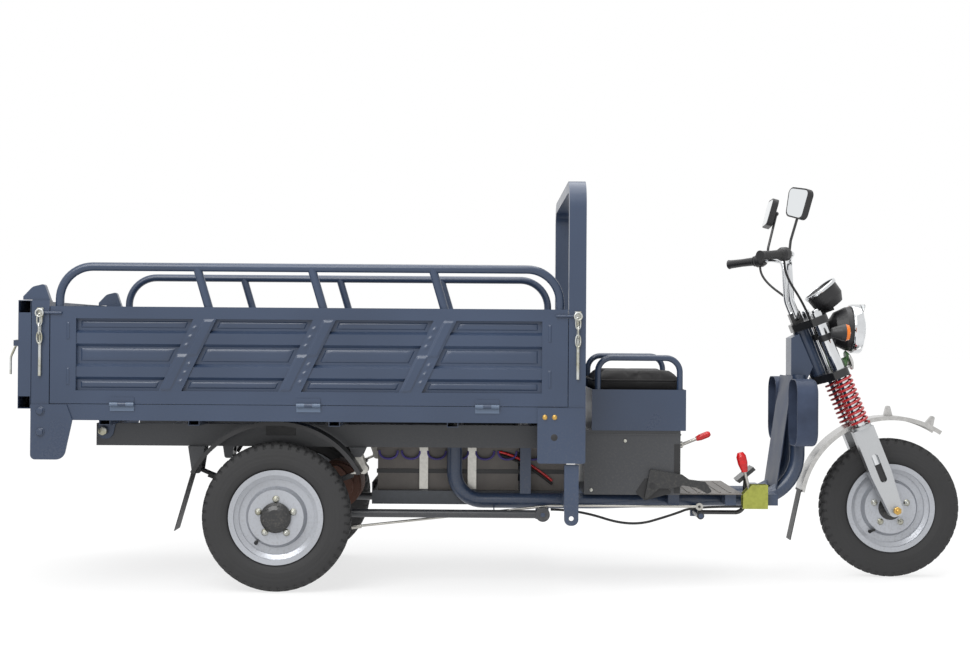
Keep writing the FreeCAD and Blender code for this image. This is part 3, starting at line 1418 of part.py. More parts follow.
# Corner posts with their horns, and the corner plates that hang below the sills
post = box_tube(post_back_x, post_front_x, bed_in, half_bed, sill_top, tailgate_top, bed_post_wall, "z")
horn_low = tailgate_top + tailgate_gap
horn_back = post_front_x - horn_length - bed_post_depth / 3
horn_outline = [
    (post_back_x, tailgate_top), (post_front_x, tailgate_top),
    (post_front_x - bed_post_depth / 3, horn_low + horn_height),
    (post_back_x, horn_low + horn_height * horn_height_shares[0]),
    (horn_back, horn_low + horn_height * horn_height_shares[1]), (horn_back, horn_low),
    (post_back_x, horn_low),
]
horn_middle = half_bed - bed_section / 2
horn_fin = flat_xz(horn_outline, horn_middle - horn_thickness / 2, horn_middle + horn_thickness / 2,
                   [0, 0, horn_height * horn_round_shares[0], horn_height * horn_round_shares[1], 0, 0, 0])
plate_out = half_bed + corner_plate_thickness
rear_plate = flat_xz(
    [(post_back_x, sill_top - sill_gap), (post_back_x + corner_plate_length * corner_plate_shares[0],
                                          sill_top - sill_gap),
     (post_back_x + corner_plate_length, sill_bottom),
     (post_back_x + corner_plate_length * corner_plate_shares[1], sill_top - corner_plate_drop),
     (post_back_x, sill_top - corner_plate_drop)],
    half_bed, plate_out, [0, 0, corner_plate_corner / 2, corner_plate_corner, corner_plate_corner / 2])
front_plate_back = hoop_front_x - front_plate_length
front_plate = flat_xz(
    [(front_plate_back, sill_top - front_plate_drop), (front_plate_back, sill_top - sill_gap),
     (hoop_front_x, sill_top - sill_gap), (hoop_front_x, sill_top - front_plate_drop)],
    half_bed, plate_out, [corner_plate_corner / 4, 0, 0, corner_plate_corner / 4])
post_welded = joined(post, horn_fin)
save("bed_posts", *both_sides(post_welded), *both_sides(rear_plate), *both_sides(front_plate))

# Front hoop with the head board panel between its legs
hoop_outer = [(-half_bed, sill_top), (half_bed, sill_top), (half_bed, hoop_top_height),
              (-half_bed, hoop_top_height)]
hoop_inner = [(-bed_in, sill_top - cut_overrun), (bed_in, sill_top - cut_overrun),
              (bed_in, hoop_top_height - bed_section), (-bed_in, hoop_top_height - bed_section)]
hoop_corners = [0, 0, hoop_corner_radius, hoop_corner_radius]
inner_corners = [0, 0, hoop_corner_radius - bed_section, hoop_corner_radius - bed_section]
hoop = flat_yz(hoop_outer, hoop_back_x, hoop_front_x, hoop_corners)
hoop = hoop.cut(flat_yz(hoop_inner, hoop_back_x - cut_overrun, hoop_front_x + cut_overrun, inner_corners))


def ribbed(low, high, level_out, level_in):
    """Cross-section of a pressed sheet: steps between two levels at shares of its height."""
    levels = (level_out, level_in)
    return [(levels[level], low + share * (high - low)) for share,
            level in zip(side_rib_shares, side_rib_levels)]


board_line = ribbed(floor_top, bed_top_height - side_top_rail, hoop_back_x + bed_section,
                    hoop_back_x + bed_section - side_recess)
board_section = board_line + [(x - side_sheet, z) for x, z in reversed(board_line)]
board = flat_xz(board_section, -bed_in, bed_in)
board_rail = box_tube(hoop_back_x + side_recess, hoop_back_x + bed_section, -bed_in, bed_in,
                      bed_top_height - side_top_rail, bed_top_height, side_sheet, "y")
save("front_hoop", hoop, joined(board, board_rail))


# Drop side: box frame, pressed sheet, leaning braces and the upper hinge leaves, drawn for the left
side_axis_y = half_bed + side_hinge_offset
side_axis_z = (side_bottom + sill_top) / 2
hinge_pin_r = side_hinge_pin / 2


def hinge_parts(x):
    """Lower leaf with its pin, and upper leaf, of one drop-side hinge centred on an X place."""
    half = side_hinge_length / 2
    sixth = side_hinge_length / 6
    leaf_y = half_bed + side_hinge_leaf
    clear = side_hinge_radius + running_gap

    def knuckle(x0, x1):
        return rod(Vector(x0, side_axis_y, side_axis_z), Vector(x1, side_axis_y, side_axis_z),
                   side_hinge_radius)

    lower = [box(x - half, x + half, half_bed, leaf_y, side_axis_z - side_hinge_leaf_height,
                 side_axis_z - clear)]
    for x0 in (x - half, x + sixth):
        lower.append(box(x0, x0 + 2 * sixth, half_bed, leaf_y, side_axis_z - clear, side_axis_z))
        lower.append(knuckle(x0, x0 + 2 * sixth))
    lower.append(rod(Vector(x - half, side_axis_y, side_axis_z), Vector(x + half, side_axis_y, side_axis_z),
                     hinge_pin_r))
    x0 = x - sixth + running_gap
    x1 = x + sixth - running_gap
    upper = [
        box(x - half, x + half, half_bed, leaf_y, side_axis_z + clear, side_axis_z + side_hinge_leaf_height),
        box(x0, x1, half_bed, leaf_y, side_axis_z, side_axis_z + clear),
        knuckle(x0, x1),
    ]
    bore = rod(Vector(x0 - cut_overrun, side_axis_y, side_axis_z),
               Vector(x1 + cut_overrun, side_axis_y, side_axis_z),
               hinge_pin_r + hub_bore_clearance)
    return joined(*lower), joined(*upper).cut(bore)


hinge_places = [side_back_x + share * bed_side_length for share in side_hinge_shares]
hinge_pairs = [hinge_parts(x) for x in hinge_places]
lower_leaves = [pair[0] for pair in hinge_pairs]
upper_leaves = [pair[1] for pair in hinge_pairs]
save("side_hinge_leaves", *[half for leaf in lower_leaves for half in both_sides(leaf)])

rail_low = side_bottom + side_bottom_rail
rail_high = bed_top_height - side_top_rail
stile_back = side_back_x + side_stile
stile_front = side_front_x - side_stile
side_frame = [
    box_tube(side_back_x, side_front_x, bed_in, half_bed, rail_high, bed_top_height, side_sheet, "x"),
    box_tube(side_back_x, side_front_x, bed_in, half_bed, side_bottom, rail_low, side_sheet, "x"),
    box_tube(side_back_x, stile_back, bed_in, half_bed, rail_low, rail_high, side_sheet, "z"),
    box_tube(stile_front, side_front_x, bed_in, half_bed, rail_low, rail_high, side_sheet, "z"),
]
rib_out = half_bed - brace_proud
sheet_line = ribbed(rail_low, rail_high, rib_out, rib_out - side_recess)
sheet_section = sheet_line + [(y - side_sheet, z) for y, z in reversed(sheet_line)]
side_sheet_solid = flat_yz(sheet_section, stile_back, stile_front)
braces = []
for share in brace_shares:
    x = side_back_x + share * bed_side_length
    half = brace_width / 2
    lean = brace_lean / 2
    braces.append(flat_xz(
        [(x - lean - half, rail_low), (x - lean + half, rail_low), (x + lean + half, rail_high),
         (x + lean - half, rail_high)], rib_out - side_recess - side_sheet, half_bed))
staple_z = tailgate_top - hasp_drop - hasp_height / 2
staple_y = half_bed + staple_diameter / 2
staples = [rod(Vector(start, staple_y, staple_z), Vector(start + staple_length, staple_y, staple_z),
               staple_diameter / 2)
           for start in (side_back_x - staple_length / 3, side_front_x - staple_length * 2 / 3)]
side_panel = joined(*side_frame, side_sheet_solid, *braces)

tube_line_y = half_bed - bed_section / 2
rail_tube_r = side_rail_tube / 2
rail_x0 = side_back_x + side_rail_end
rail_x1 = side_front_x - side_rail_end
rail_z = bed_top_height + side_rail_rise
rail_loop = [Vector(rail_x0, tube_line_y, bed_top_height), Vector(rail_x0, tube_line_y, rail_z),
             Vector(rail_x1, tube_line_y, rail_z), Vector(rail_x1, tube_line_y, bed_top_height)]
rail_outer = pipe(rail_loop, side_rail_bend, rail_tube_r)
rail_inner = pipe(rail_loop, side_rail_bend, rail_tube_r - side_rail_wall)
supports = []
for share in side_rail_support_shares:
    x = side_back_x + share * bed_side_length
    lean = side_rail_support_lean / 2
    top = Vector(x - lean, tube_line_y, rail_z)
    foot = Vector(x + lean, tube_line_y, bed_top_height)
    supports.append(rod(top, foot + (foot - top) * support_root_share, rail_tube_r))
below = box(side_back_x, side_front_x, bed_in, half_bed, side_bottom, bed_top_height)
side_rail = joined(rail_outer, *supports).cut([below, rail_inner])
panel_solids = [side_panel, side_rail] + upper_leaves + staples
save("side_panel_left", *panel_solids)
save("side_panel_right", *[mirrored(solid) for solid in panel_solids])

# Tailgate: box frame with a pressed sheet, hinge knuckles and latch lugs; its latches swing out on pins
gate_low_rail = tailgate_low + tailgate_rail
gate_high_rail = tailgate_top - tailgate_rail
gate_frame = [
    box_tube(tailgate_back_x, tailgate_front_x, -half_bed, half_bed, gate_high_rail, tailgate_top,
             side_sheet, "y"),
    box_tube(tailgate_back_x, tailgate_front_x, -half_bed, half_bed, tailgate_low, gate_low_rail,
             side_sheet, "y"),
    box_tube(tailgate_back_x, tailgate_front_x, half_bed - side_stile, half_bed, gate_low_rail,
             gate_high_rail,
             side_sheet, "z"),
    box_tube(tailgate_back_x, tailgate_front_x, -half_bed, side_stile - half_bed, gate_low_rail,
             gate_high_rail,
             side_sheet, "z"),
]
gate_line = ribbed(gate_low_rail, gate_high_rail, tailgate_back_x + brace_proud,
                   tailgate_back_x + brace_proud + side_recess)
gate_sheet = flat_xz(gate_line + [(x + side_sheet, z) for x, z in reversed(gate_line)],
                     side_stile - half_bed,
                     half_bed - side_stile)
latch_z = tailgate_top - latch_pivot_drop
latch_x = tailgate_back_x - latch_boss / 2 - running_gap
latch_y = half_bed - latch_inset
latch_half = latch_thickness / 2
latch_lugs = [
    box(latch_x - latch_pin, tailgate_back_x, y, y + latch_half, latch_z - latch_pin, latch_z + latch_pin)
    for y in (latch_y - latch_half * 2 - running_gap, latch_y + latch_half + running_gap)
]
latch_bolt = rod(Vector(latch_x, latch_y - latch_half * 2, latch_z),
                 Vector(latch_x, latch_y + latch_half * 2, latch_z), latch_pin / 2)
lug_set = latch_lugs + [latch_bolt]
gate = joined(*gate_frame, gate_sheet, *gate_knuckles, *lug_set, *[mirrored(piece) for piece in lug_set])
save("tailgate", gate)

handle_r = latch_thickness / 2
handle_x = handle_r - overall_length / 2
handle_path = [Vector(latch_x, latch_y, latch_z),
               Vector(handle_x, latch_y, latch_z - latch_handle * latch_bend_share),
               Vector(handle_x, latch_y, latch_z - latch_handle)]
latch_boss_round = rod(Vector(latch_x, latch_y - latch_half, latch_z),
                       Vector(latch_x, latch_y + latch_half, latch_z),
                       latch_boss / 2)
latch_bore = rod(Vector(latch_x, latch_y - latch_boss, latch_z),
                 Vector(latch_x, latch_y + latch_boss, latch_z),
                 latch_pin / 2 + hub_bore_clearance)
latch = joined(latch_boss_round, pipe(handle_path, latch_handle * latch_round_share,
                                      handle_r)).cut(latch_bore)
save("tailgate_latch_left", latch)
save("tailgate_latch_right", mirrored(latch))


# Lock hasps with a hanging pin at each end of the drop sides, and the tail lamps under the rear sill
def lock(x):
    """Hasp plate, flat link and round pin in one hanging set."""
    top = staple_z + hasp_height / 2
    link_low = top - hasp_height - lock_link_length
    plate = box(x - hasp_width / 2, x + hasp_width / 2, half_bed, half_bed + hasp_plate, top - hasp_height,
                top)
    link = box(x - hasp_plate, x + hasp_plate, half_bed + running_gap, half_bed + hasp_plate, link_low, top)
    pin_y = half_bed + running_gap + lock_pin_diameter / 2
    pin = rod(Vector(x, pin_y, link_low + hasp_plate), Vector(x, pin_y, link_low - lock_pin_length),
              lock_pin_diameter / 2)
    return joined(plate, link, pin)


lock_places = [side_back_x - staple_length / 3 - hasp_width / 2 - panel_gap, side_front_x + staple_length / 3
               + hasp_width / 2 + panel_gap]
save("side_locks", *[half for x in lock_places for half in both_sides(lock(x))])
lamp_y = half_bed - bed_section - tail_lamp_width
lamp_top = sill_bottom
tail_lamp = flat_yz([(lamp_y, lamp_top - tail_lamp_height),
                     (lamp_y + tail_lamp_width, lamp_top - tail_lamp_height),
                     (lamp_y + tail_lamp_width, lamp_top), (lamp_y, lamp_top)],
                    post_back_x, post_back_x + tail_lamp_depth, [tail_lamp_corner, tail_lamp_corner, 0, 0])
save("tail_lamps", *both_sides(tail_lamp))


# Steering yoke: two clamps welded to the stem that turns in the head tube
leg_r = fork_tube_diameter / 2
sleeve_r = fork_sleeve_diameter / 2
ear_r = clamp_ear_diameter / 2


def clamp(along):
    """Three-cornered clamp plate round the stem and both fork tubes."""
    low = along - clamp_thickness / 2
    back = -stem_offset - ear_r
    wide = fork_y + ear_r
    corners = [(back, -ear_r), (back, ear_r), (-ear_r, wide), (ear_r, wide), (ear_r, -wide), (-ear_r, -wide)]
    full, slight = (ear_r * share for share in clamp_round_shares)
    turns = [full, full, slight, full, full, slight]
    return slab([Vector(x, y, low) for x, y in corners], turns, Vector(0, 0, clamp_thickness))


stem = Part.makeCylinder(stem_diameter / 2, upper_clamp_along - lower_clamp_along,
                         Vector(-stem_offset, 0, lower_clamp_along))
tube_ends = (fork_leg_top_along - fork_leg_bore_depth + fork_compression + fork_extension,
             upper_clamp_along + ear_r)
clamp_top = upper_clamp_along + clamp_thickness / 2
bar_along = clamp_top + bar_diameter / 2 + hanger_plate
bar_block_half = bar_diameter * bar_block_share
bar_block = box(-stem_offset - bar_diameter, bar_diameter - stem_offset, -bar_block_half, bar_block_half,
                clamp_top,
                bar_along + bar_diameter)
bar_hole = rod(Vector(-stem_offset, -bar_diameter, bar_along), Vector(-stem_offset, bar_diameter, bar_along),
               bar_diameter / 2 + hub_bore_clearance)
tube_holes = [
    Part.makeCylinder(leg_r + hub_bore_clearance, upper_clamp_along,
                      Vector(0, turn * fork_y, fork_leg_top_along))
    for turn in (-1, 1)
]
yoke = joined(clamp(lower_clamp_along), clamp(upper_clamp_along), stem,
              bar_block).cut(tube_holes + [bar_hole])
save("steering_yoke", in_fork(yoke))

between_low = lower_clamp_along + clamp_thickness / 2
between_high = upper_clamp_along - clamp_thickness / 2
fork_tube = Part.makeCylinder(leg_r, tube_ends[1] - tube_ends[0], Vector(0, fork_y, tube_ends[0]))
fork_cover = Part.makeCylinder(sleeve_r, between_high - between_low, Vector(0, fork_y, between_low))
fork_tubes = joined(fork_tube, fork_cover)
save("fork_tubes", *[in_fork(tube) for tube in both_sides(fork_tubes)])

# Fork springs: one wire each, wound on quarter-turn biarcs, with straight ends
cup_top = fork_leg_top_along + spring_cup_height
coil_r = (fork_spring_outside - fork_spring_wire) / 2
coil_low = cup_top + fork_spring_wire / 2 + spring_end_gap
coil_high = lower_clamp_along - clamp_thickness / 2 - fork_spring_wire / 2 - spring_end_gap
coil_rise = (coil_high - coil_low) / fork_spring_turns
quarters_per_turn = 4


def coil_point(quarter):
    """Place on the helix, and the direction of the wire there."""
    angle = math.pi * 2 * quarter / quarters_per_turn
    height = coil_low + coil_rise * quarter / quarters_per_turn
    place = Vector(coil_r * math.cos(angle), coil_r * math.sin(angle), height)
    lean = coil_rise / (2 * math.pi)
    way = Vector(-coil_r * math.sin(angle), coil_r * math.cos(angle), lean).normalize()
    return place, way


def biarc(start, start_way, end, end_way):
    """Corner points of two tangent arcs that join two places along given directions."""
    span = end - start
    ways = start_way + end_way
    square = 2 * (1 - start_way.dot(end_way))
    reach = (math.sqrt(span.dot(ways) ** 2 + square * span.dot(span)) - span.dot(ways)) / square
    first = start + start_way * reach
    second = end - end_way * reach
    return first, (first + second) / 2, second


def corner_arc(start, corner, end):
    """Arc that touches both legs of a corner of equal legs."""
    before = (start - corner).normalize()
    after = (end - corner).normalize()
    half = before.getAngle(after) / 2
    leg = (start - corner).Length
    middle = (before + after).normalize()
    return Part.Arc(start, corner + middle * (leg / math.cos(half) - leg * math.tan(half)), end).toShape()


coil_edges = []
quarters = fork_spring_turns * quarters_per_turn
first_place, first_way = coil_point(0)
last_place, last_way = coil_point(quarters)
tail_start = first_place - first_way * fork_spring_wire
coil_edges.append(Part.LineSegment(tail_start, first_place).toShape())
for quarter in range(quarters):
    start, start_way = coil_point(quarter)
    end, end_way = coil_point(quarter + 1)
    first, joint, second = biarc(start, start_way, end, end_way)
    coil_edges += [corner_arc(start, first, joint), corner_arc(joint, second, end)]
coil_edges.append(Part.LineSegment(last_place, last_place + last_way * fork_spring_wire).toShape())
coil_path = Part.Wire(coil_edges)
wire_section = Part.Wire([Part.makeCircle(fork_spring_wire / 2, tail_start, first_way)])
spring = coil_path.makePipeShell([wire_section], True, False)
coil_points = coil_path.discretize(Number=quarters * quarters_per_turn)
turn_points = quarters_per_turn * quarters_per_turn
least = min((coil_points[index] - other).Length for index in range(len(coil_points) - turn_points)
            for other in coil_points[index + turn_points // 2:index + turn_points * 2])
print("fork spring gap to itself", round(least - fork_spring_wire, 2))
springs = []
for turn in (-1, 1):
    placed = spring.copy()
    placed.translate(Vector(0, turn * fork_y, 0))
    springs.append(in_fork(placed))
save("fork_springs", *springs)

# Fork lower legs: flat tapered castings with a bore, a spring cup and a slot pocket on the outside
leg_in = fork_y - fork_leg_thickness / 2
leg_out = fork_y + fork_leg_thickness / 2
top_half = fork_leg_width / 2
foot_half = fork_leg_foot_width / 2
taper_top = fork_leg_top_along * fork_leg_taper_share
foot_round = foot_half * fork_leg_round_share
leg_plate = flat_xz(
    [(-foot_half, -fork_leg_foot), (foot_half, -fork_leg_foot), (top_half, taper_top),
     (top_half, fork_leg_top_along),
     (-top_half, fork_leg_top_along), (-top_half, taper_top)],
    leg_in, leg_out, [foot_round, foot_round, top_half, 0, 0, top_half])
spring_cup = Part.makeCylinder(fork_spring_outside / 2 + hub_bore_clearance, spring_cup_height,
                               Vector(0, fork_y, fork_leg_top_along))
leg_bore = Part.makeCylinder(leg_r + hub_bore_clearance,
                             fork_leg_bore_depth + spring_cup_height + cut_overrun,
                             Vector(0, fork_y, fork_leg_top_along - fork_leg_bore_depth))
slot_half = fork_leg_slot_width / 2
slot_low = fork_leg_slot_along - fork_leg_slot_length / 2
slot_high = fork_leg_slot_along + fork_leg_slot_length / 2
leg_slot = flat_xz([(-slot_half, slot_low), (slot_half, slot_low), (slot_half, slot_high),
                    (-slot_half, slot_high)],
                   leg_out - fork_leg_slot_depth, leg_out + cut_overrun,
                   slot_half * fork_leg_slot_round_share)
axle_r = front_axle_diameter / 2
axle_hole = rod(Vector(0, leg_in - cut_overrun, 0), Vector(0, leg_out + cut_overrun, 0),
                axle_r + hub_bore_clearance)
fork_leg = joined(leg_plate, spring_cup).cut([leg_bore, leg_slot, axle_hole])
save("fork_legs", *[in_fork(leg) for leg in both_sides(fork_leg)])

# Front wheel with its hub, and the axle held in the fork legs
front_place = Vector(front_axle_x, 0, axle_height)
hub_end = leg_in - spring_cup_height
flange = disc_face - rim_sheet
hub_neck = front_axle_diameter * hub_neck_share
hub_flange = rim_centre_bore * hub_flange_share
bore = axle_r + hub_bore_clearance
front_hub = turned([
    (bore, -hub_end), (hub_neck, -hub_end), (hub_diameter / 2, -flange),
    (hub_diameter / 2, flange - drum_wall),
    (hub_flange, flange - drum_wall), (hub_flange, flange), (hub_neck, flange), (hub_neck, hub_end),
    (bore, hub_end),
])
front_wheel_nodes = {"front_rim": rim(), "front_tyre": tyre(front_tyre_width), "front_hub": front_hub}
for node, shape in front_wheel_nodes.items():
    placed = mirrored(shape)
    placed.translate(front_place)
    save(node, placed)
nut_end = leg_out + front_axle_diameter
nut_r = front_axle_nut / 2
spacer_r = hub_neck * axle_spacer_share
spacer_start = hub_end + running_gap
axle_half = [(0, 0), (axle_r, 0), (axle_r, spacer_start), (spacer_r, spacer_start), (spacer_r, leg_in),
             (axle_r, leg_in),
             (axle_r, leg_out), (nut_r, leg_out), (nut_r, nut_end), (0, nut_end)]
front_axle = joined(turned(axle_half, front_place), mirrored(turned(axle_half, front_place)))
save("front_axle", front_axle)

# Front fender: rolled sheet with side lips, two crest lugs, tabs to the fork legs and a hanging flap
fender_half = fender_width / 2
fender_out_r = fender_radius + fender_sheet
fender_arch = band(front_axle_x, axle_height, fender_radius, fender_out_r, fender_front_angle,
                   fender_rear_angle,
                   -fender_half, fender_half)
fender_lips = [
    band(front_axle_x, axle_height, fender_radius - fender_lip, fender_radius, fender_front_angle,
         fender_rear_angle,
         y, y + fender_sheet)
    for y in (-fender_half, fender_half - fender_sheet)
]
lugs = []
for degrees in fender_lug_angles:
    base = fender_lug_length / 2
    crest = base * fender_lug_top_share
    crest_round = base * fender_lug_round_share
    foot = polar(front_axle_x, axle_height, fender_radius + fender_sheet / 2, degrees)
    lug = flat_xz([(-base, -fender_sheet / 2), (base, -fender_sheet / 2), (crest, fender_lug_height),
                   (-crest, fender_lug_height)],
                  -fender_lug_thickness / 2, fender_lug_thickness / 2, [0, 0, crest_round, crest_round])
    lug.rotate(ORIGIN, Y_AXIS, QUARTER_TURN - degrees)
    lug.translate(foot)
    lugs.append(lug)
tab_high = fender_radius - fender_sheet
tab_low = fork_leg_top_along - fender_lip * 2
tab_web = box(-fender_lug_thickness, fender_lug_thickness, fender_half - fender_sheet, fender_half, tab_low,
              tab_high)
tab_foot = box(-fender_lug_thickness, fender_lug_thickness, fender_half - fender_sheet, leg_in - seat_gap,
               tab_low,
               fork_leg_top_along - fender_sheet * 2)
fender_tabs = [in_fork(half) for half in both_sides(joined(tab_web, tab_foot))]
front_fender = joined(fender_arch, *fender_lips, *lugs, *fender_tabs)
flap_head = polar(front_axle_x, axle_height, fender_radius, fender_rear_angle)
flap_way = Vector(-math.sin(math.radians(mudflap_lean)), 0, -math.cos(math.radians(mudflap_lean)))
flap_end = flap_head + flap_way * mudflap_length
flap_start = flap_head - flap_way * fender_lip
front_flap = slab([point + Vector(0, -fender_half + fender_lip, 0) for point in
                   (flap_start, flap_start + flap_thick, flap_end + flap_thick, flap_end)], 0,
                  Vector(0, fender_width - 2 * fender_lip, 0)).cut(front_fender)
save("front_fender", front_fender, front_flap)


# Handlebar: one tube from grip to grip, down both risers and across the bar block
def turned_along(profile, place, way):
    """Solid of revolution whose axis leaves a place along a direction."""
    solid = turned(profile)
    solid.Placement = FreeCAD.Placement(place, Rotation(Y_AXIS, way))
    return solid


riser_y = bar_riser_spacing / 2
sweep = math.radians(grip_sweep)
bar_low = fork_point(-stem_offset, riser_y, bar_along)
bar_lean = fork_point(-stem_offset, riser_y, bar_along + bar_riser_along * bar_rise_shares[0])
bar_high = bar_lean + Vector(-bar_end_drop, 0, bar_riser_along * bar_rise_shares[1])
bar_corner = bar_high + Vector(-bar_diameter, bar_half_width * bar_corner_share,
                               bar_end_drop * bar_lift_share)
grip_way = Vector(-math.sin(sweep), math.cos(sweep), -bar_end_drop / grip_length)
bar_end = bar_corner + grip_way * (grip_length + pod_length * grip_inset_share)
half_route = [bar_end, bar_corner, bar_high, bar_lean, bar_low]
far_route = [Vector(point.x, -point.y, point.z) for point in reversed(half_route)]
bends = [bar_riser_bend * share for share in bar_bend_shares]
handlebar = pipe(half_route + far_route, bends + bends[::-1], bar_diameter / 2)
save("handlebar", handlebar)
bar_bore = bar_diameter / 2 + hub_bore_clearance
way = Vector(grip_way).normalize()
grip_start = bar_end - way * (grip_length - seat_gap)
grip_profile = [(bar_bore, 0), (grip_flange / 2, 0), (grip_flange / 2, bar_end_drop / 2),
                (grip_diameter / 2, bar_end_drop), (grip_diameter / 2 * grip_waist_share, grip_length / 2),
                (grip_diameter / 2, grip_length - bar_end_drop),
                (grip_flange / 2 * grip_end_share, grip_length),
                (0, grip_length), (0, grip_length - seat_gap / 2), (bar_bore, grip_length - seat_gap / 2)]
left_grip = turned_along(grip_profile, grip_start, way)
pod_start = grip_start - way * (pod_length + running_gap)
pod = turned_along([(bar_bore, 0), (pod_depth / 2, 0), (pod_height / 2, pod_length * pod_shares[0]),
                    (pod_height / 2, pod_length * pod_shares[1]), (pod_depth / 2, pod_length),
                    (bar_bore, pod_length)],
                   pod_start, way)
save("bar_controls", left_grip, *both_sides(pod))
save("throttle_grip", mirrored(left_grip))

# Mirrors: leaning stems on the bar and heads that turn on a ball at the top
stem_foot = pod_start - way * (pod_length * mirror_foot_share) + Z_AXIS * (bar_diameter / 2 + seat_gap)
lean_share, rise_share, round_share = mirror_bend_shares
stem_bend = stem_foot + Vector(bar_end_drop * lean_share, 0, mirror_stem_rise * rise_share)
stem_top = stem_foot + Vector(mirror_stem_lean, bar_end_drop * 2,
                              mirror_stem_rise + mirror_head_height * round_share)
mirror_stem = pipe([stem_foot, stem_bend, stem_top], mirror_stem_rise * round_share,
                   mirror_stem_diameter / 2)
ball = Part.makeSphere(mirror_ball_diameter / 2, stem_top)
save("mirror_stems", *both_sides(joined(mirror_stem, ball)))
head_y = stem_top.y + mirror_head_width * mirror_offset_share
head_back = stem_top.x - mirror_ball_diameter / 2 - seat_gap
mirror_outline = [(head_y + mirror_head_width * wide, stem_top.z + mirror_head_height * high)
                  for wide, high in mirror_outline_shares]
mirror_head = flat_yz(mirror_outline, head_back - mirror_head_depth, head_back,
                      mirror_head_width * mirror_round_share)
mirror_lean = math.degrees(math.atan2(stem_top.x - stem_bend.x, stem_top.z - stem_bend.z))
mirror_head.rotate(stem_top, Y_AXIS, mirror_lean)
save("mirror_head_left", mirror_head)
right_head = mirrored(mirror_head)
stem_way = stem_top - stem_bend
right_head.rotate(Vector(stem_top.x, -stem_top.y, stem_top.z), Vector(stem_way.x, -stem_way.y, stem_way.z),
                  mirror_turn_angle)
save("mirror_head_right", right_head)

# Headlight on arms from the fork covers, with a ring, a domed glass and a clear peak
lamp_r = headlight_diameter / 2
lamp_middle = fork_point(headlight_ahead, 0, headlight_along)
lamp_back = lamp_middle - X_AXIS * (headlight_depth / 2)
shell = turned_along(shaped(lamp_r, headlight_depth, headlight_radius_shares, headlight_depth_shares),
                     lamp_back, X_AXIS)
arm_y = fork_y - mudflap_sheet
arm_low = headlight_along - headlight_rim
arm_high = headlight_along + headlight_rim
lamp_arms = []
for turn in (-1, 1):
    y0 = turn * arm_y
    y1 = turn * (arm_y - mudflap_sheet * 2)
    arm = box(0, headlight_ahead + headlight_rim, min(y0, y1), max(y0, y1), arm_low, arm_high)
    collar = Part.makeCylinder(sleeve_r + mudflap_sheet * 2, arm_high - arm_low,
                               Vector(0, turn * fork_y, arm_low))
    hole = Part.makeCylinder(sleeve_r + hub_bore_clearance, upper_clamp_along, Vector(0, turn * fork_y, 0))
    bolt = rod(Vector(headlight_ahead, y0, headlight_along), Vector(headlight_ahead, 0, headlight_along),
               headlight_rim / 2)
    lamp_arms.append(in_fork(joined(arm, collar, bolt).cut(hole)))
save("headlight_shell", joined(shell, *lamp_arms))
lamp_front = lamp_back + X_AXIS * headlight_depth
visor_r = lamp_r + mudflap_sheet
lens_edge, lens_shoulder = (lamp_r * share for share in lens_radius_shares)
glass = turned_along([(0, 0), (visor_r, 0), (visor_r, headlight_rim), (lens_edge, headlight_rim),
                      (lens_shoulder, headlight_rim + headlight_lens_bulge * lens_bulge_share),
                      (0, headlight_rim + headlight_lens_bulge)], lamp_front, X_AXIS)
visor = band(0, 0, visor_r, visor_r + visor_sheet, visor_start_angle, visor_end_angle, 0, visor_reach)
slope = visor_reach * visor_slope_share
cut_low, cut_high = (visor_r * share for share in visor_cut_shares)
visor_cut = flat_xz([(0, 0), (0, cut_low), (slope, cut_high), (slope * 2, 0)], -visor_r * 2, visor_r * 2)
visor.rotate(ORIGIN, Z_AXIS, -QUARTER_TURN)
visor = visor.cut(visor_cut)
visor.translate(lamp_front)
save("headlight_glass", glass, visor)

# Turn signals on stalks from the headlight arms
signals = []
stalk_r = signal_stalk / 2
stalk_ahead = sleeve_r + mudflap_sheet * 2 + stalk_r + mudflap_sheet
signal_r = signal_diameter / 2
for turn in (-1, 1):
    root = fork_point(stalk_ahead, turn * (arm_y + seat_gap), signal_along)
    tip = fork_point(stalk_ahead, turn * signal_y, signal_along)
    back = tip - X_AXIS * (signal_length / 2)
    bowl = shaped(signal_r, signal_length, signal_radius_shares, signal_length_shares)
    lens_start = signal_length - signal_lens
    body = turned_along([(0, 0)] + bowl + [(signal_r, lens_start), (0, lens_start)], back, X_AXIS)
    lens_foot, lens_brow, brow_share = signal_lens_shares
    lens = turned_along([(0, 0), (signal_r * lens_foot, 0), (signal_r * lens_brow, signal_lens * brow_share),
                         (0, signal_lens)], back + X_AXIS * lens_start, X_AXIS)
    signals.append((joined(rod(root, tip, stalk_r), body), lens))
save("turn_signals", *[solid for pair in signals for solid in pair])

# Instrument on a post from the upper clamp, and the horn in front of the lower clamp
tilt = math.radians(instrument_tilt)
dial_way = Vector(-math.sin(tilt), 0, math.cos(tilt))
dial_r = instrument_diameter / 2
dial_base = fork_point(instrument_ahead, 0, instrument_along)
base_share, waist_share, waist_height_share = instrument_shares
bezel_low = instrument_depth - instrument_bezel
bezel_r = dial_r + mudflap_sheet
dial_face = instrument_depth - instrument_bezel / 2
dial = turned_along([(0, 0), (dial_r * base_share, 0),
                     (dial_r * waist_share, instrument_depth * waist_height_share),
                     (dial_r, bezel_low), (bezel_r, bezel_low), (bezel_r, instrument_depth),
                     (dial_r - mudflap_sheet, instrument_depth), (dial_r - mudflap_sheet * 2, dial_face),
                     (0, dial_face)], dial_base, dial_way)
dial_post = rod(fork_point(ear_r + seat_gap, 0, clamp_top), fork_point(instrument_ahead, 0, clamp_top),
                headlight_rim / 2)
save("instrument", joined(dial, dial_post))
horn_r = horn_diameter / 2
horn_disc = turned_along(shaped(horn_r, horn_depth, horn_radius_shares, horn_depth_shares),
                         Vector(horn_ahead - horn_depth, 0, horn_along), X_AXIS)
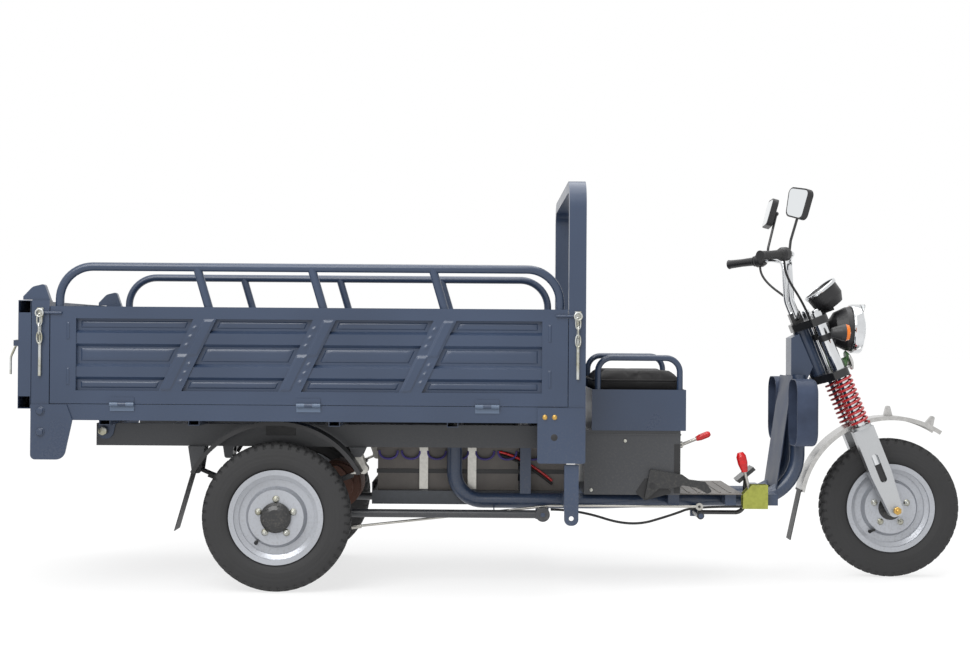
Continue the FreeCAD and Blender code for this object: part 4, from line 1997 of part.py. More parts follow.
horn_strip = box(ear_r + seat_gap, horn_ahead - horn_depth / 2, -headlight_rim, headlight_rim,
                 lower_clamp_along - mudflap_sheet, lower_clamp_along + mudflap_sheet)
save("horn", in_fork(joined(horn_disc, horn_strip)))


# Hand brake: plate on the seat box side with a headed pin, and a pressed lever beside it
brake_out = -box_half - seat_gap
lever_in = brake_out - hand_brake_plate - running_gap
lever_out = lever_in - hand_brake_thickness
plate_outline = [(hand_brake_x - brake_plate_back, hand_brake_height - brake_plate_high),
                 (hand_brake_x - brake_plate_high, hand_brake_height - brake_plate_low),
                 (hand_brake_x + brake_plate_fore, hand_brake_height - brake_plate_high),
                 (hand_brake_x + brake_plate_high, hand_brake_height + brake_plate_high),
                 (hand_brake_x - brake_plate_high, hand_brake_height + brake_plate_high)]
brake_plate = flat_xz(plate_outline, brake_out - hand_brake_plate, brake_out, hand_brake_round)
brake_place = Vector(hand_brake_x, 0, hand_brake_height)
head_start = lever_out - running_gap
brake_pin = rod(brake_place + Vector(0, brake_out, 0), brake_place + Vector(0, head_start, 0),
                hand_brake_pin / 2 - hub_bore_clearance)
brake_head = rod(brake_place + Vector(0, head_start, 0),
                 brake_place + Vector(0, head_start - hand_brake_plate, 0),
                 hand_brake_head / 2)
brake_base = joined(brake_plate, brake_pin, brake_head)
lever_outline = [(hand_brake_x + ahead * hand_brake_length, hand_brake_height + rise * hand_brake_length)
                 for ahead, rise in hand_brake_shares]
brake_lever = flat_xz(lever_outline, lever_out, lever_in, hand_brake_round)
brake_bore = rod(brake_place + Vector(0, lever_out - cut_overrun, 0),
                 brake_place + Vector(0, lever_in + cut_overrun, 0),
                 hand_brake_pin / 2)
save("hand_brake_lever", brake_lever.cut(brake_bore))

# Gear lever: folded bracket on the cross tube, and a stick with a red knob
gear_back = gear_box_x - gear_box_length / 2
gear_fore = gear_box_x + gear_box_length / 2 - seat_gap
gear_in = -floor_board_width / 2 + gear_box_width
gear_out = gear_in - gear_box_width
gear_low = tube_top - gear_box_height * gear_low_share
gear_high = gear_low + gear_box_height
gear_wall = box(gear_back, gear_fore, gear_out, gear_in, gear_low, gear_high)
gear_hollow = box(gear_back - cut_overrun, gear_fore - gear_box_sheet, gear_out + gear_box_sheet,
                  gear_in - gear_box_sheet, gear_low + gear_box_sheet, gear_high + cut_overrun)
slope_drop, slope_reach = gear_slope_shares
gear_slope = flat_xz([(gear_back - cut_overrun, gear_high - gear_box_height * slope_drop),
                      (gear_back + gear_box_length * slope_reach, gear_high + cut_overrun),
                      (gear_back - cut_overrun, gear_high + cut_overrun)], gear_out - cut_overrun,
                      gear_in + cut_overrun)
gear_pivot = Vector(gear_box_x - gear_stick_diameter, (gear_in + gear_out) / 2,
                    gear_low + gear_box_height * gear_pivot_share)
gear_pin = rod(Vector(gear_pivot.x, gear_out, gear_pivot.z), Vector(gear_pivot.x, gear_in, gear_pivot.z),
               gear_stick_diameter / 2 - hub_bore_clearance)
gear_bracket = joined(gear_wall.cut([gear_hollow, gear_slope]), gear_pin)
save("lever_brackets", brake_base, gear_bracket)
stick_lean = math.radians(gear_stick_lean)
stick_way = Vector(-math.sin(stick_lean), 0, math.cos(stick_lean))
stick_end = gear_pivot + stick_way * gear_stick_length
gear_stick = rod(gear_pivot, stick_end, gear_stick_diameter / 2)
boss_half = gear_box_width / 2 - gear_box_sheet - running_gap
gear_boss = rod(gear_pivot - Vector(0, boss_half, 0), gear_pivot + Vector(0, boss_half, 0),
                gear_stick_diameter)
gear_bore = rod(gear_pivot - Vector(0, gear_box_width, 0), gear_pivot + Vector(0, gear_box_width, 0),
                gear_stick_diameter / 2)
knob_r = gear_knob_diameter / 2
knob = turned_along(shaped(knob_r, gear_knob_length, gear_knob_radius_shares, gear_knob_length_shares),
                    stick_end - stick_way * (gear_knob_length * gear_knob_root_share), stick_way)
save("gear_lever", joined(gear_stick, gear_boss, knob).cut(gear_bore))

# Tip release lever in front of the seat box
dump_lift = math.radians(dump_lever_tilt)
dump_way = Vector(math.cos(dump_lift), 0, math.sin(dump_lift))
dump_neck = dump_place + dump_way * dump_rod_length
dump_boss = rod(dump_place - Vector(0, dump_boss_half, 0), dump_place + Vector(0, dump_boss_half, 0),
                dump_boss_half * dump_boss_share)
dump_bore = rod(dump_place - Vector(0, dump_rod_length, 0), dump_place + Vector(0, dump_rod_length, 0),
                dump_boss_half / 2)
dump_grip = turned_along(shaped(dump_grip_diameter / 2, dump_grip_length, dump_grip_radius_shares,
                                dump_grip_length_shares),
                         dump_neck, dump_way)
dump_lever = joined(rod(dump_place, dump_neck, dump_boss_half), dump_boss, dump_grip).cut(dump_bore)
save("dump_lever", dump_lever)

# Brake pedal: boss tube on the frame pin, bent arm, ribbed pad and the crank of the brake rod
pedal_in = -pedal_tube_y - floor_half / 2 - running_gap
pedal_out = brake_rod_y - pedal_shaft_diameter / 2
pedal_boss = sleeve(pedal_place + Vector(0, pedal_in, 0), pedal_place + Vector(0, pedal_out, 0),
                    pedal_shaft_diameter * pedal_boss_share, pedal_shaft_diameter / 2)
arm_r = pedal_arm_diameter / 2
arm_foot = pedal_place + Vector(pedal_shaft_diameter * pedal_root_share, pedal_y, 0)
arm_corner = Vector(pedal_pad_x - arm_r, pedal_y, pedal_pivot_height)
arm_end = Vector(pedal_pad_x, pedal_y, pedal_pad_height)
pedal_arm = pipe([arm_foot, arm_corner, arm_end], pedal_arm_diameter * 2, arm_r)
pad_wide = pedal_pad_width / 2
pedal_pad = box(-pedal_pad_length / 2, pedal_pad_length / 2, -pad_wide, pad_wide, 0, pedal_pad_thickness)
pedal_pad.rotate(ORIGIN, Y_AXIS, -pedal_pad_slope)
pedal_pad.translate(arm_end)
crank_lean = math.radians(pedal_swing / 2)
crank_pin_place = pedal_place + Vector(-pedal_crank * math.sin(crank_lean), brake_rod_y, crank_rise)
crank_half = pedal_shaft_diameter / 2
crank_round = crank_half * pedal_round_share
crank_plate_y = brake_rod_y + brake_rod_diameter + hand_brake_plate
crank_low = pedal_pivot_height + crank_half
crank_high = crank_low + pedal_crank
crank = flat_xz([(pedal_pivot_x - crank_half, crank_low), (pedal_pivot_x + crank_half, crank_low),
                 (pedal_pivot_x + crank_half, crank_high), (pedal_pivot_x - crank_half, crank_high)],
                crank_plate_y - hand_brake_plate, crank_plate_y, [0, 0, crank_round, crank_round])
crank_pin = rod(crank_pin_place + Vector(0, crank_plate_y - brake_rod_y, 0),
                crank_pin_place - Vector(0, brake_rod_diameter, 0), brake_rod_diameter / 2)
brake_pedal = joined(pedal_boss, pedal_arm, pedal_pad, crank, crank_pin)
brake_pedal = brake_pedal.cut(rod(pedal_place + Vector(0, pedal_in + cut_overrun, 0),
                                  pedal_place + Vector(0, pedal_out - cut_overrun, 0),
                                  pedal_shaft_diameter / 2))
save("brake_pedal", brake_pedal)

# Brake rod from the pedal crank, over the thrust pin and down to the axle
rod_r = brake_rod_diameter / 2
rod_eye = sleeve(crank_pin_place - Vector(0, rod_r, 0), crank_pin_place + Vector(0, rod_r, 0),
                 brake_rod_diameter * brake_rod_eye_share, rod_r + brake_rod_clearance)
rod_start = crank_pin_place - X_AXIS * brake_rod_diameter
brake_rod = pipe([rod_start, rod_line_high, rod_line_low], main_tube_front_bend, rod_r)
rod_way = (rod_line_high - rod_line_low).normalize()
rod_block = rod(rod_line_low, rod_line_low + rod_way * (brake_rod_diameter * brake_rod_block_share),
                brake_rod_diameter)
eye_hole = rod(crank_pin_place - Vector(0, cut_overrun * 2, 0),
               crank_pin_place + Vector(0, cut_overrun * 2, 0),
               rod_r + brake_rod_clearance)
save("brake_rod", joined(brake_rod, rod_eye, rod_block).cut(eye_hole))

# Thrust tubes from the frame to the axle, snug on the front pin and loose on the rear one
front_spot = Vector(thrust_front_x, thrust_y, thrust_height)
rear_spot = Vector(thrust_rear_x, thrust_y, thrust_height)
eye_side = Vector(0, thrust_half, 0)
thrust_eyes = [rod(spot - eye_side, spot + eye_side, thrust_eye_outside / 2) for spot in (front_spot,
                                                                                          rear_spot)]
thrust_bores = [rod(front_spot - eye_side * 2, front_spot + eye_side * 2, thrust_r),
                rod(rear_spot - eye_side * 2, rear_spot + eye_side * 2, thrust_r + thrust_clearance)]
thrust_tube = joined(rod(front_spot, rear_spot, thrust_tube_diameter / 2), *thrust_eyes).cut(thrust_bores)
save("thrust_tubes", *both_sides(thrust_tube))

# Cables on the frame: the gear cable under the seat box, and two leads down the battery side
lead_r = lead_diameter / 2
cable_y = gear_pivot.y
cable_high = tube_top - floor_cross_tube - running_gap - lead_r
under_tube = tube_bottom - seat_gap - lead_r
sag_x = seat_box_back_x + seat_box_length / 2
cable_bend = main_tube_rear_bend * cable_bend_share
cable_end = Vector(thrust_front_x + thrust_pin * 2, -tube_y, under_tube)
gear_cable = pipe([
    Vector(gear_back - seat_gap, cable_y, cable_high),
    Vector(pedal_pivot_x - pedal_shaft_diameter, cable_y, cable_high),
    Vector(box_front_x - floor_half, cable_y, cable_high - gear_cable_sag * gear_cable_share),
    Vector(sag_x, cable_y, cable_high - gear_cable_sag),
    Vector(side_post_x + floor_half * 2, -tube_y, under_tube),
    cable_end], cable_bend, lead_r)
lead_y = -battery_half - seat_gap - lead_r
leads = []
for shift in (0, lead_diameter * lead_shift_share):
    lead_middle, lead_end = (lead_back_x + battery_width * share for share in lead_along_shares)
    lead_fall = battery_top - battery_lid * lead_drop_shares[0] - shift
    lead_low = battery_top - battery_height * lead_drop_shares[1] - shift
    leads.append(pipe([Vector(lead_back_x, lead_y, battery_top - battery_lid - shift),
                       Vector(lead_middle, lead_y, lead_fall), Vector(lead_end, lead_y, lead_low)],
                       cable_bend, lead_r))
save("frame_cables", gear_cable, *leads)

# Bar cables from the switch pods down beside the risers to the upper clamp
pod_under = pod_start + way * (pod_length / 2) - Z_AXIS * (pod_height / 2 + seat_gap)
back_share, foot_share, spread_share, lift_share = bar_cable_shares
clamp_spot = fork_point(-ear_r * back_share, riser_y * foot_share, clamp_top + seat_gap)
clamp_rise = fork_point(-ear_r * back_share, riser_y * spread_share,
                        clamp_top + bar_riser_along * lift_share)
drop_share, curl_share = pod_cable_shares
pod_drop = pod_under - Z_AXIS * (pod_height * drop_share)
bar_cable = pipe([pod_under, pod_drop, clamp_rise, clamp_spot], pod_height * curl_share, lead_r)
save("bar_cables", *both_sides(bar_cable))
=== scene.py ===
"""Electric cargo tricycle: finishes, tread, fasteners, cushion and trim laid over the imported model."""

import math

import bmesh
import bpy
import numpy as np
from mathutils import Matrix, Vector


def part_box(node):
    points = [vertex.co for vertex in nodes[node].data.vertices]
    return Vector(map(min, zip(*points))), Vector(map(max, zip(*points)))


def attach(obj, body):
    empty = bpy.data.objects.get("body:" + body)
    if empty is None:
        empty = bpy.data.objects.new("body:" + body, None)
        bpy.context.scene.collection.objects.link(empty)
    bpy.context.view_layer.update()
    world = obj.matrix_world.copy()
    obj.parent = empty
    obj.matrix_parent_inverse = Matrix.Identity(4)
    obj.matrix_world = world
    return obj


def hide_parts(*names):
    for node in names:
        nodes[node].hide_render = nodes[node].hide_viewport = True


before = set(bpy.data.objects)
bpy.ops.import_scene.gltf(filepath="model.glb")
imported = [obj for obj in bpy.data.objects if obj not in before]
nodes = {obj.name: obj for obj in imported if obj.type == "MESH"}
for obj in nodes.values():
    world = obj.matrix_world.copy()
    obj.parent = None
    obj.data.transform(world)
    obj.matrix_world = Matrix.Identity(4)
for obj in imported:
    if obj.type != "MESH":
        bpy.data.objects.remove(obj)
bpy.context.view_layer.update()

# Places on the machine, in metres, as the model has them
REAR_AXLE = np.array([-0.810, 0.0, 0.265])
FRONT_AXLE = np.array([1.480, 0.0, 0.265])
WHEEL_Y = 0.450
RAKE = math.radians(22)
BED_SIDE = 0.550
SIDES = (("right", -1.0), ("left", 1.0))


# Finishes
COAT_ROUGHNESS = 0.12
CLOUD_ROUGHNESS = 0.55


def tone(red, green, blue):
    """Linear colour of an 8-bit screen colour: the usual power curve with its straight foot."""
    value = np.array([red, green, blue]) / 255
    linear = np.where(value <= 0.04045, value / 12.92, ((value + 0.055) / 1.055) ** 2.4)
    return (*linear.tolist(), 1.0)


def shade(colour, factor):
    """The same colour made darker or lighter."""
    return (*[channel * factor for channel in colour[:3]], 1.0)


class Finish:
    """One material: a Principled shader and short calls that add nodes before it."""

    def __init__(self, name, colour, roughness, metallic=0.0, coat=0.0, specular=0.5):
        self.material = bpy.data.materials.new(name)
        self.material.use_nodes = True
        self.tree = self.material.node_tree
        self.shader = self.tree.nodes["Principled BSDF"]
        self.put("Base Color", colour)
        self.put("Roughness", roughness)
        self.put("Metallic", metallic)
        self.put("Coat Weight", coat)
        self.put("Coat Roughness", COAT_ROUGHNESS)
        self.put("Specular IOR Level", specular)
        self.place = self.node("ShaderNodeTexCoord").outputs["Object"]

    def node(self, kind, **settings):
        """New node of a kind, with its settings."""
        made = self.tree.nodes.new(kind)
        for key, value in settings.items():
            setattr(made, key, value)
        return made

    def put(self, socket, value):
        """Sets a socket of the shader."""
        self.feed(self.shader.inputs[socket], value)

    def feed(self, target, value):
        """Sets a socket to a number or colour, or links an output to it."""
        if isinstance(value, bpy.types.NodeSocket):
            self.tree.links.new(value, target)
        else:
            target.default_value = value

    def noise(self, scale, detail=3.0, stretch=(1, 1, 1)):
        """Soft cloud pattern; stretch below 1 draws it out along that axis."""
        mapping = self.node("ShaderNodeMapping")
        mapping.inputs["Scale"].default_value = stretch
        self.tree.links.new(self.place, mapping.inputs["Vector"])
        made = self.node("ShaderNodeTexNoise")
        made.inputs["Scale"].default_value = scale
        made.inputs["Detail"].default_value = detail
        made.inputs["Roughness"].default_value = CLOUD_ROUGHNESS
        self.tree.links.new(mapping.outputs["Vector"], made.inputs["Vector"])
        return made.outputs["Fac"]

    def cells(self, scale):
        """Pebbled pattern: distance to the nearest of many scattered points."""
        made = self.node("ShaderNodeTexVoronoi")
        made.inputs["Scale"].default_value = scale
        self.tree.links.new(self.place, made.inputs["Vector"])
        return made.outputs["Distance"]

    def span(self, factor, low, high, start, end):
        """Carries a factor between low and high onto start to end, and holds it outside."""
        made = self.node("ShaderNodeMapRange", clamp=True)
        sockets = ("Value", "From Min", "From Max", "To Min", "To Max")
        for socket, value in zip(sockets, (factor, low, high, start, end)):
            self.feed(made.inputs[socket], value)
        return made.outputs["Result"]

    def combine(self, operation, first, second):
        """One factor worked out from two."""
        made = self.node("ShaderNodeMath", operation=operation)
        self.feed(made.inputs[0], first)
        self.feed(made.inputs[1], second)
        return made.outputs[0]

    def blend(self, factor, first, second):
        """Colour between two, by a factor."""
        made = self.node("ShaderNodeMix", data_type="RGBA")
        for socket, value in zip((0, 6, 7), (factor, first, second)):
            self.feed(made.inputs[socket], value)
        return made.outputs[2]

    def height(self):
        """Height above the ground at each point."""
        made = self.node("ShaderNodeSeparateXYZ")
        self.tree.links.new(self.place, made.inputs["Vector"])
        return made.outputs["Z"]

    def inside(self, low, high):
        """1 inside a box given by two corners, 0 outside: no axis overshoots the box."""
        low, high = np.array(low), np.array(high)
        shifted = self.node("ShaderNodeVectorMath", operation="SUBTRACT")
        self.tree.links.new(self.place, shifted.inputs[0])
        shifted.inputs[1].default_value = (low + high) / 2
        away = self.node("ShaderNodeVectorMath", operation="ABSOLUTE")
        self.tree.links.new(shifted.outputs["Vector"], away.inputs[0])
        over = self.node("ShaderNodeVectorMath", operation="SUBTRACT")
        self.tree.links.new(away.outputs["Vector"], over.inputs[0])
        over.inputs[1].default_value = (high - low) / 2
        parts = self.node("ShaderNodeSeparateXYZ")
        self.tree.links.new(over.outputs["Vector"], parts.inputs["Vector"])
        level = self.combine("MAXIMUM", parts.outputs["X"], parts.outputs["Y"])
        most = self.combine("MAXIMUM", level, parts.outputs["Z"])
        return self.combine("LESS_THAN", most, 0.0)

    def bump(self, height, distance, strength=1.0):
        """Raises the surface's look by a pattern's height."""
        made = self.node("ShaderNodeBump")
        made.inputs["Strength"].default_value = strength
        made.inputs["Distance"].default_value = distance
        self.tree.links.new(height, made.inputs["Height"])
        self.put("Normal", made.outputs["Normal"])


def enamel(name, colour, dust, roughness=0.3, coat=0.35):
    """Sprayed enamel: slow drift of tone, orange-peel skin, and road dust that thins out upwards."""
    made = Finish(name, colour, roughness, coat=coat)
    drift = made.noise(2.2, 2.0)
    paint = made.blend(made.span(drift, 0.3, 0.7, 0.0, 1.0), shade(colour, 0.9), shade(colour, 1.1))
    speck = made.noise(140.0, 4.0)
    low = made.span(made.height(), 0.2, 0.7, 0.2, 0.0)
    veil = made.combine("MULTIPLY", made.span(speck, 0.48, 0.7, 0.0, 1.0), low)
    made.put("Base Color", made.blend(veil, paint, dust))
    gloss = made.span(drift, 0.3, 0.7, roughness - 0.05, roughness + 0.08)
    made.put("Roughness", made.combine("ADD", gloss, veil))
    made.bump(made.noise(420.0, 1.0), 0.0004, 0.25)
    return made


def moulding(name, colour, roughness, grain, depth, coat=0.0):
    """Moulded plastic or rubber: fine pebbled grain and faint cloudy tone."""
    made = Finish(name, colour, roughness, coat=coat)
    cloud = made.noise(9.0, 3.0)
    clouded = made.span(cloud, 0.35, 0.7, 0.0, 1.0)
    made.put("Base Color", made.blend(clouded, shade(colour, 0.8), shade(colour, 1.25)))
    made.put("Roughness", made.span(cloud, 0.3, 0.7, roughness - 0.06, roughness + 0.08))
    made.bump(made.cells(grain), depth, 0.35)
    return made


def bare_metal(name, colour, roughness, stretch=(1, 1, 1), scale=90.0, depth=0.0002):
    """Bare metal: brushed or rolled lines drawn out along one axis, with cloudy gloss."""
    made = Finish(name, colour, roughness, metallic=1.0)
    lines = made.noise(scale, 4.0, stretch)
    cloud = made.noise(6.0, 2.0)
    made.put("Base Color", made.blend(made.span(lines, 0.35, 0.65, 0.0, 1.0), shade(colour, 0.94), colour))
    gloss = made.span(lines, 0.3, 0.7, roughness - 0.05, roughness + 0.06)
    made.put("Roughness", made.combine("ADD", gloss, made.span(cloud, 0.3, 0.7, -0.015, 0.025)))
    made.bump(lines, depth, 0.15)
    return made


def zinc_plate(name, first, second, roughness=0.32):
    """Passivated zinc: metal whose tint wanders between two colours."""
    made = Finish(name, first, roughness, metallic=0.85)
    wander = made.noise(28.0, 3.0)
    made.put("Base Color", made.blend(made.span(wander, 0.38, 0.62, 0.0, 1.0), first, second))
    made.put("Roughness", made.span(made.noise(80.0, 3.0), 0.3, 0.7, roughness - 0.08, roughness + 0.1))
    made.bump(made.noise(240.0, 2.0), 0.0002, 0.3)
    return made


DUST = tone(120, 114, 104)
slate = enamel("slate_enamel", tone(45, 59, 82), DUST, 0.32, 0.18)
# Lighter slate for the hinge leaves: painted highlight for the light their edges catch; they carry the same
# slate paint as the body.
slate_painted_highlight = enamel("slate_painted_highlight", tone(82, 97, 118), DUST, 0.4, 0.1)
graphite = enamel("graphite_enamel", tone(54, 56, 60), DUST, 0.38, 0.15)
jet = enamel("jet_enamel", tone(24, 25, 27), DUST, 0.34, 0.3)
oxide = enamel("oxide_primer", tone(88, 54, 40), DUST, 0.55, 0.0)
wheel_silver = enamel("wheel_silver", tone(166, 169, 175), DUST, 0.33, 0.2)
wheel_silver.put("Metallic", 0.55)
cherry = enamel("cherry_enamel", tone(176, 24, 30), DUST, 0.25, 0.5)
cherry_cap = moulding("cherry_plastic", tone(196, 22, 26), 0.28, 900.0, 0.0001, 0.4)
black_shell = moulding("black_plastic", tone(27, 27, 29), 0.42, 800.0, 0.0002)
navy_shell = moulding("navy_plastic", tone(58, 67, 86), 0.42, 700.0, 0.00008)
navy_shell.put("Specular IOR Level", 0.18)
taupe_shell = moulding("battery_plastic", tone(100, 95, 91), 0.5, 650.0, 0.0002)
tread_rubber = moulding("tread_rubber", tone(40, 40, 41), 0.72, 420.0, 0.0004)
soft_rubber = moulding("soft_rubber", tone(26, 26, 27), 0.6, 700.0, 0.0002)
seat_vinyl = moulding("seat_vinyl", tone(19, 18, 19), 0.55, 520.0, 0.0004)
seat_vinyl.put("Specular IOR Level", 0.22)
drawn_steel = bare_metal("drawn_steel", tone(178, 176, 170), 0.32, (0.1, 4, 4), 80.0)
cast_alloy = bare_metal("cast_alloy", tone(186, 188, 190), 0.4, (1, 1, 1), 240.0, 0.0005)
chrome = bare_metal("bright_chrome", tone(214, 216, 218), 0.08, (1, 1, 1), 40.0, 0.00002)
brass = bare_metal("brass_plate", tone(196, 160, 92), 0.3, (1, 1, 1), 120.0)
clear_zinc = zinc_plate("clear_zinc", tone(190, 192, 190), tone(160, 158, 140))


def clear_moulding(name, colour, roughness, ribs):
    """Clear or tinted lens: light passes through it, and shallow moulded ribs bend it."""
    made = Finish(name, colour, roughness, specular=0.5)
    made.put("Transmission Weight", 1.0)
    made.put("IOR", 1.45)
    made.bump(made.noise(ribs, 1.0, (1, 6, 0.6)), 0.0008, 0.4)
    return made


lamp_glass = clear_moulding("lamp_glass", tone(236, 240, 242), 0.03, 14.0)
red_lens = moulding("red_lens", tone(150, 16, 18), 0.12, 260.0, 0.0006, 0.6)
mirror_glass = Finish("mirror_glass", tone(228, 231, 233), 0.02, metallic=1.0)
mirror_glass.bump(mirror_glass.noise(3.0, 1.0), 0.0002, 0.1)
strap_violet = moulding("violet_strap", tone(72, 62, 128), 0.6, 500.0, 0.0003)


# Mesh tools: every surface is an array of points on a grid
TIP = 1e-5  # radius at which a turned end counts as closed
DISC_CROWN, STUD_CHAMFER = 0.0002, 0.001
HEAD_TOP_SHARE, HEAD_ROUND_SHARE, HEAD_SLOPE_SHARE = 0.86, 1.04, 0.4


def grid_faces(rows, columns, close_rows=False, close_columns=False):
    """Four-cornered faces of a grid of points, wrapped round where a direction closes on itself."""
    r = np.arange(rows if close_rows else rows - 1)[:, None]
    c = np.arange(columns if close_columns else columns - 1)[None, :]
    up, on = (r + 1) % rows, (c + 1) % columns
    corners = [r * columns + c, up * columns + c, up * columns + on, r * columns + on]
    return np.stack([np.broadcast_to(k, (r.size, c.size)) for k in corners], -1).reshape(-1, 4)


def add(name, points, faces, finish, body, slot, smooth=True):
    """New piece from points and faces, riding on a body and with its finish; the slot argument is not used.
    """
    mesh = bpy.data.meshes.new(name)
    mesh.from_pydata(np.asarray(points, float).reshape(-1, 3).tolist(), [], np.asarray(faces).tolist())
    mesh.materials.append(finish.material)
    mesh.polygons.foreach_set("use_smooth", np.full(len(mesh.polygons), smooth))
    mesh.update()
    piece = bpy.data.objects.new(name, mesh)
    bpy.context.scene.collection.objects.link(piece)
    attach(piece, body)
    return piece


def axes_for(axis):
    """Three square directions as matrix columns, the third along the axis."""
    third = np.asarray(axis, float) / np.linalg.norm(axis)
    helper = np.array([0.0, 0.0, 1.0]) if abs(third[2]) < 0.9 else np.array([1.0, 0.0, 0.0])
    first = np.cross(helper, third)
    first /= np.linalg.norm(first)
    return np.stack([first, np.cross(third, first), third], 1)


def lathe(profile, steps, closed=False):
    """Profile of (radius, height) pairs turned about Z: x = r cos a, y = r sin a, z = h. A closed profile
    makes a ring."""
    profile = np.asarray(profile, float)
    turn = np.linspace(0, 2 * np.pi, steps, endpoint=False)
    radius, height = profile[:, :1], np.broadcast_to(profile[:, 1:], (len(profile), steps))
    points = np.stack([radius * np.cos(turn), radius * np.sin(turn), height], -1)
    return points.reshape(-1, 3), grid_faces(len(profile), steps, closed, True)[:, ::-1]


def disc(radius, height):
    """Washer or plain disc with a slightly raised middle."""
    return lathe([(TIP, 0.0), (radius, 0.0), (radius, height), (TIP, height + DISC_CROWN)], 24)


def stud(radius, straight, height, steps):
    """Round bolt end with a chamfer above its straight part."""
    end = radius - STUD_CHAMFER
    return lathe([(TIP, 0.0), (radius, 0.0), (radius, straight), (end, height), (TIP, height)], steps)


def hexagon(across, height, chamfer):
    """Bolt head: six-sided radius a / cos(angle from the flat), drawn in to a circle by the top chamfer."""
    turn = np.linspace(0, 2 * np.pi, 24, endpoint=False)
    flat = across / 2
    off = (turn + np.pi / 6) % (np.pi / 3) - np.pi / 6
    six = flat / np.cos(off)
    edge, middle = np.full_like(turn, flat * HEAD_TOP_SHARE), np.full_like(turn, TIP)
    rings = [six, six, np.minimum(six, flat * HEAD_ROUND_SHARE), edge, middle]
    levels = [0, height - chamfer, height - chamfer * HEAD_SLOPE_SHARE, height, height]
    points = np.stack([np.stack([r * np.cos(turn), r * np.sin(turn), np.full_like(turn, z)], -1)
                       for r, z in zip(rings, levels)])
    return points.reshape(-1, 3), grid_faces(len(rings), len(turn), close_columns=True)[:, ::-1]


def placed(shape, spots, axis):
    """Copies of one shape at several places, all along one axis, as one set of points and faces."""
    points, faces = shape
    spots = np.asarray(spots, float).reshape(-1, 3)
    turned = points @ axes_for(axis).T
    every = turned[None] + spots[:, None]
    shift = np.arange(len(spots))[:, None, None] * len(points)
    return every.reshape(-1, 3), (faces[None] + shift).reshape(-1, 4)


def together(*shapes):
    """Several shapes as one set of points and faces."""
    shifts = np.cumsum([0] + [len(points) for points, faces in shapes[:-1]])
    return (np.concatenate([points for points, faces in shapes]),
            np.concatenate([faces + shift for (points, faces), shift in zip(shapes, shifts)]))


def tube(path, radius, sides=12, closed=False):
    """Round section carried along a path; the section's frame is square to the path's direction."""
    path = np.asarray(path, float)
    ahead = np.roll(path, -1, 0) - np.roll(path, 1, 0)
    if not closed:
        ahead[0], ahead[-1] = path[1] - path[0], path[-1] - path[-2]
    ahead /= np.linalg.norm(ahead, axis=1, keepdims=True)
    spread = np.ptp(path, axis=0)
    helper = np.eye(3)[np.argmin(spread)]
    side = np.cross(ahead, helper)
    side /= np.linalg.norm(side, axis=1, keepdims=True)
    over = np.cross(side, ahead)
    turn = np.linspace(0, 2 * np.pi, sides, endpoint=False)
    ring = np.cos(turn)[None, :, None] * side[:, None] + np.sin(turn)[None, :, None] * over[:, None]
    points = path[:, None] + ring * radius
    faces = grid_faces(len(path), sides, close_rows=closed, close_columns=True)
    points = points.reshape(-1, 3)
    if closed:
        return points, faces
    last = len(path) * sides
    points = np.concatenate([points, path[:1], path[-1:]])
    k = np.arange(sides)
    caps = np.stack([np.full(sides, last), (k + 1) % sides, k, k], -1)
    ends = np.stack([np.full(sides, last + 1), last - sides + k, last - sides + (k + 1) % sides,
                     last - sides + (k + 1) % sides], -1)
    return points, np.concatenate([faces, caps, ends])


def smooth_line(points, count):
    """Even points on a Catmull-Rom line through the given ones."""
    p = np.asarray(points, float)
    p = np.concatenate([2 * p[:1] - p[1:2], p, 2 * p[-1:] - p[-2:-1]])
    t = np.linspace(0, len(p) - 3 - 1e-9, count)
    k = t.astype(int)
    u = (t - k)[:, None]
    a, b, c, d = p[k], p[k + 1], p[k + 2], p[k + 3]
    square, cube = 2 * a - 5 * b + 4 * c - d, 3 * b - a - 3 * c + d
    return 0.5 * (2 * b + (c - a) * u + square * u ** 2 + cube * u ** 3)


def facing(points, faces, normal):
    """The same faces, turned round where they look against the normal."""
    a, b, d = (points[faces[len(faces) // 2, k]] for k in (0, 1, 3))
    return points, faces if np.dot(np.cross(b - a, d - a), normal) > 0 else faces[:, ::-1]


def soft_step(value):
    """Smooth rise from 0 to 1 over the unit range."""
    held = np.clip(value, 0, 1)
    return held * held * (3 - 2 * held)


def pressed_pad(corners, normal, depth, slope, steps=(24, 10)):
    """Pressed field on a flat sheet: bilinear places between four corners, lifted along the normal by a
    smooth step that rises over the slope width from every edge."""
    c = np.asarray(corners, float)
    wide = np.linalg.norm(c[1] - c[0])
    tall = np.linalg.norm(c[3] - c[0])

    def spread(count, size):
        """Shares along one side, closer together on the slopes."""
        rim = slope / size
        inner = np.linspace(rim, 1 - rim, count - 6)
        return np.concatenate([[0, rim * 0.25, rim * 0.6], inner, [1 - rim * 0.6, 1 - rim * 0.25, 1]])

    u, v = np.meshgrid(spread(steps[0], wide), spread(steps[1], tall), indexing="ij")
    weights = ((1 - u) * (1 - v), u * (1 - v), u * v, (1 - u) * v)
    flat = sum(weight[..., None] * corner for weight, corner in zip(weights, c))
    edge = np.minimum(np.minimum(u, 1 - u) * wide, np.minimum(v, 1 - v) * tall) / slope
    points = flat + soft_step(edge)[..., None] * depth * np.asarray(normal, float)
    return points.reshape(-1, 3), grid_faces(*steps)


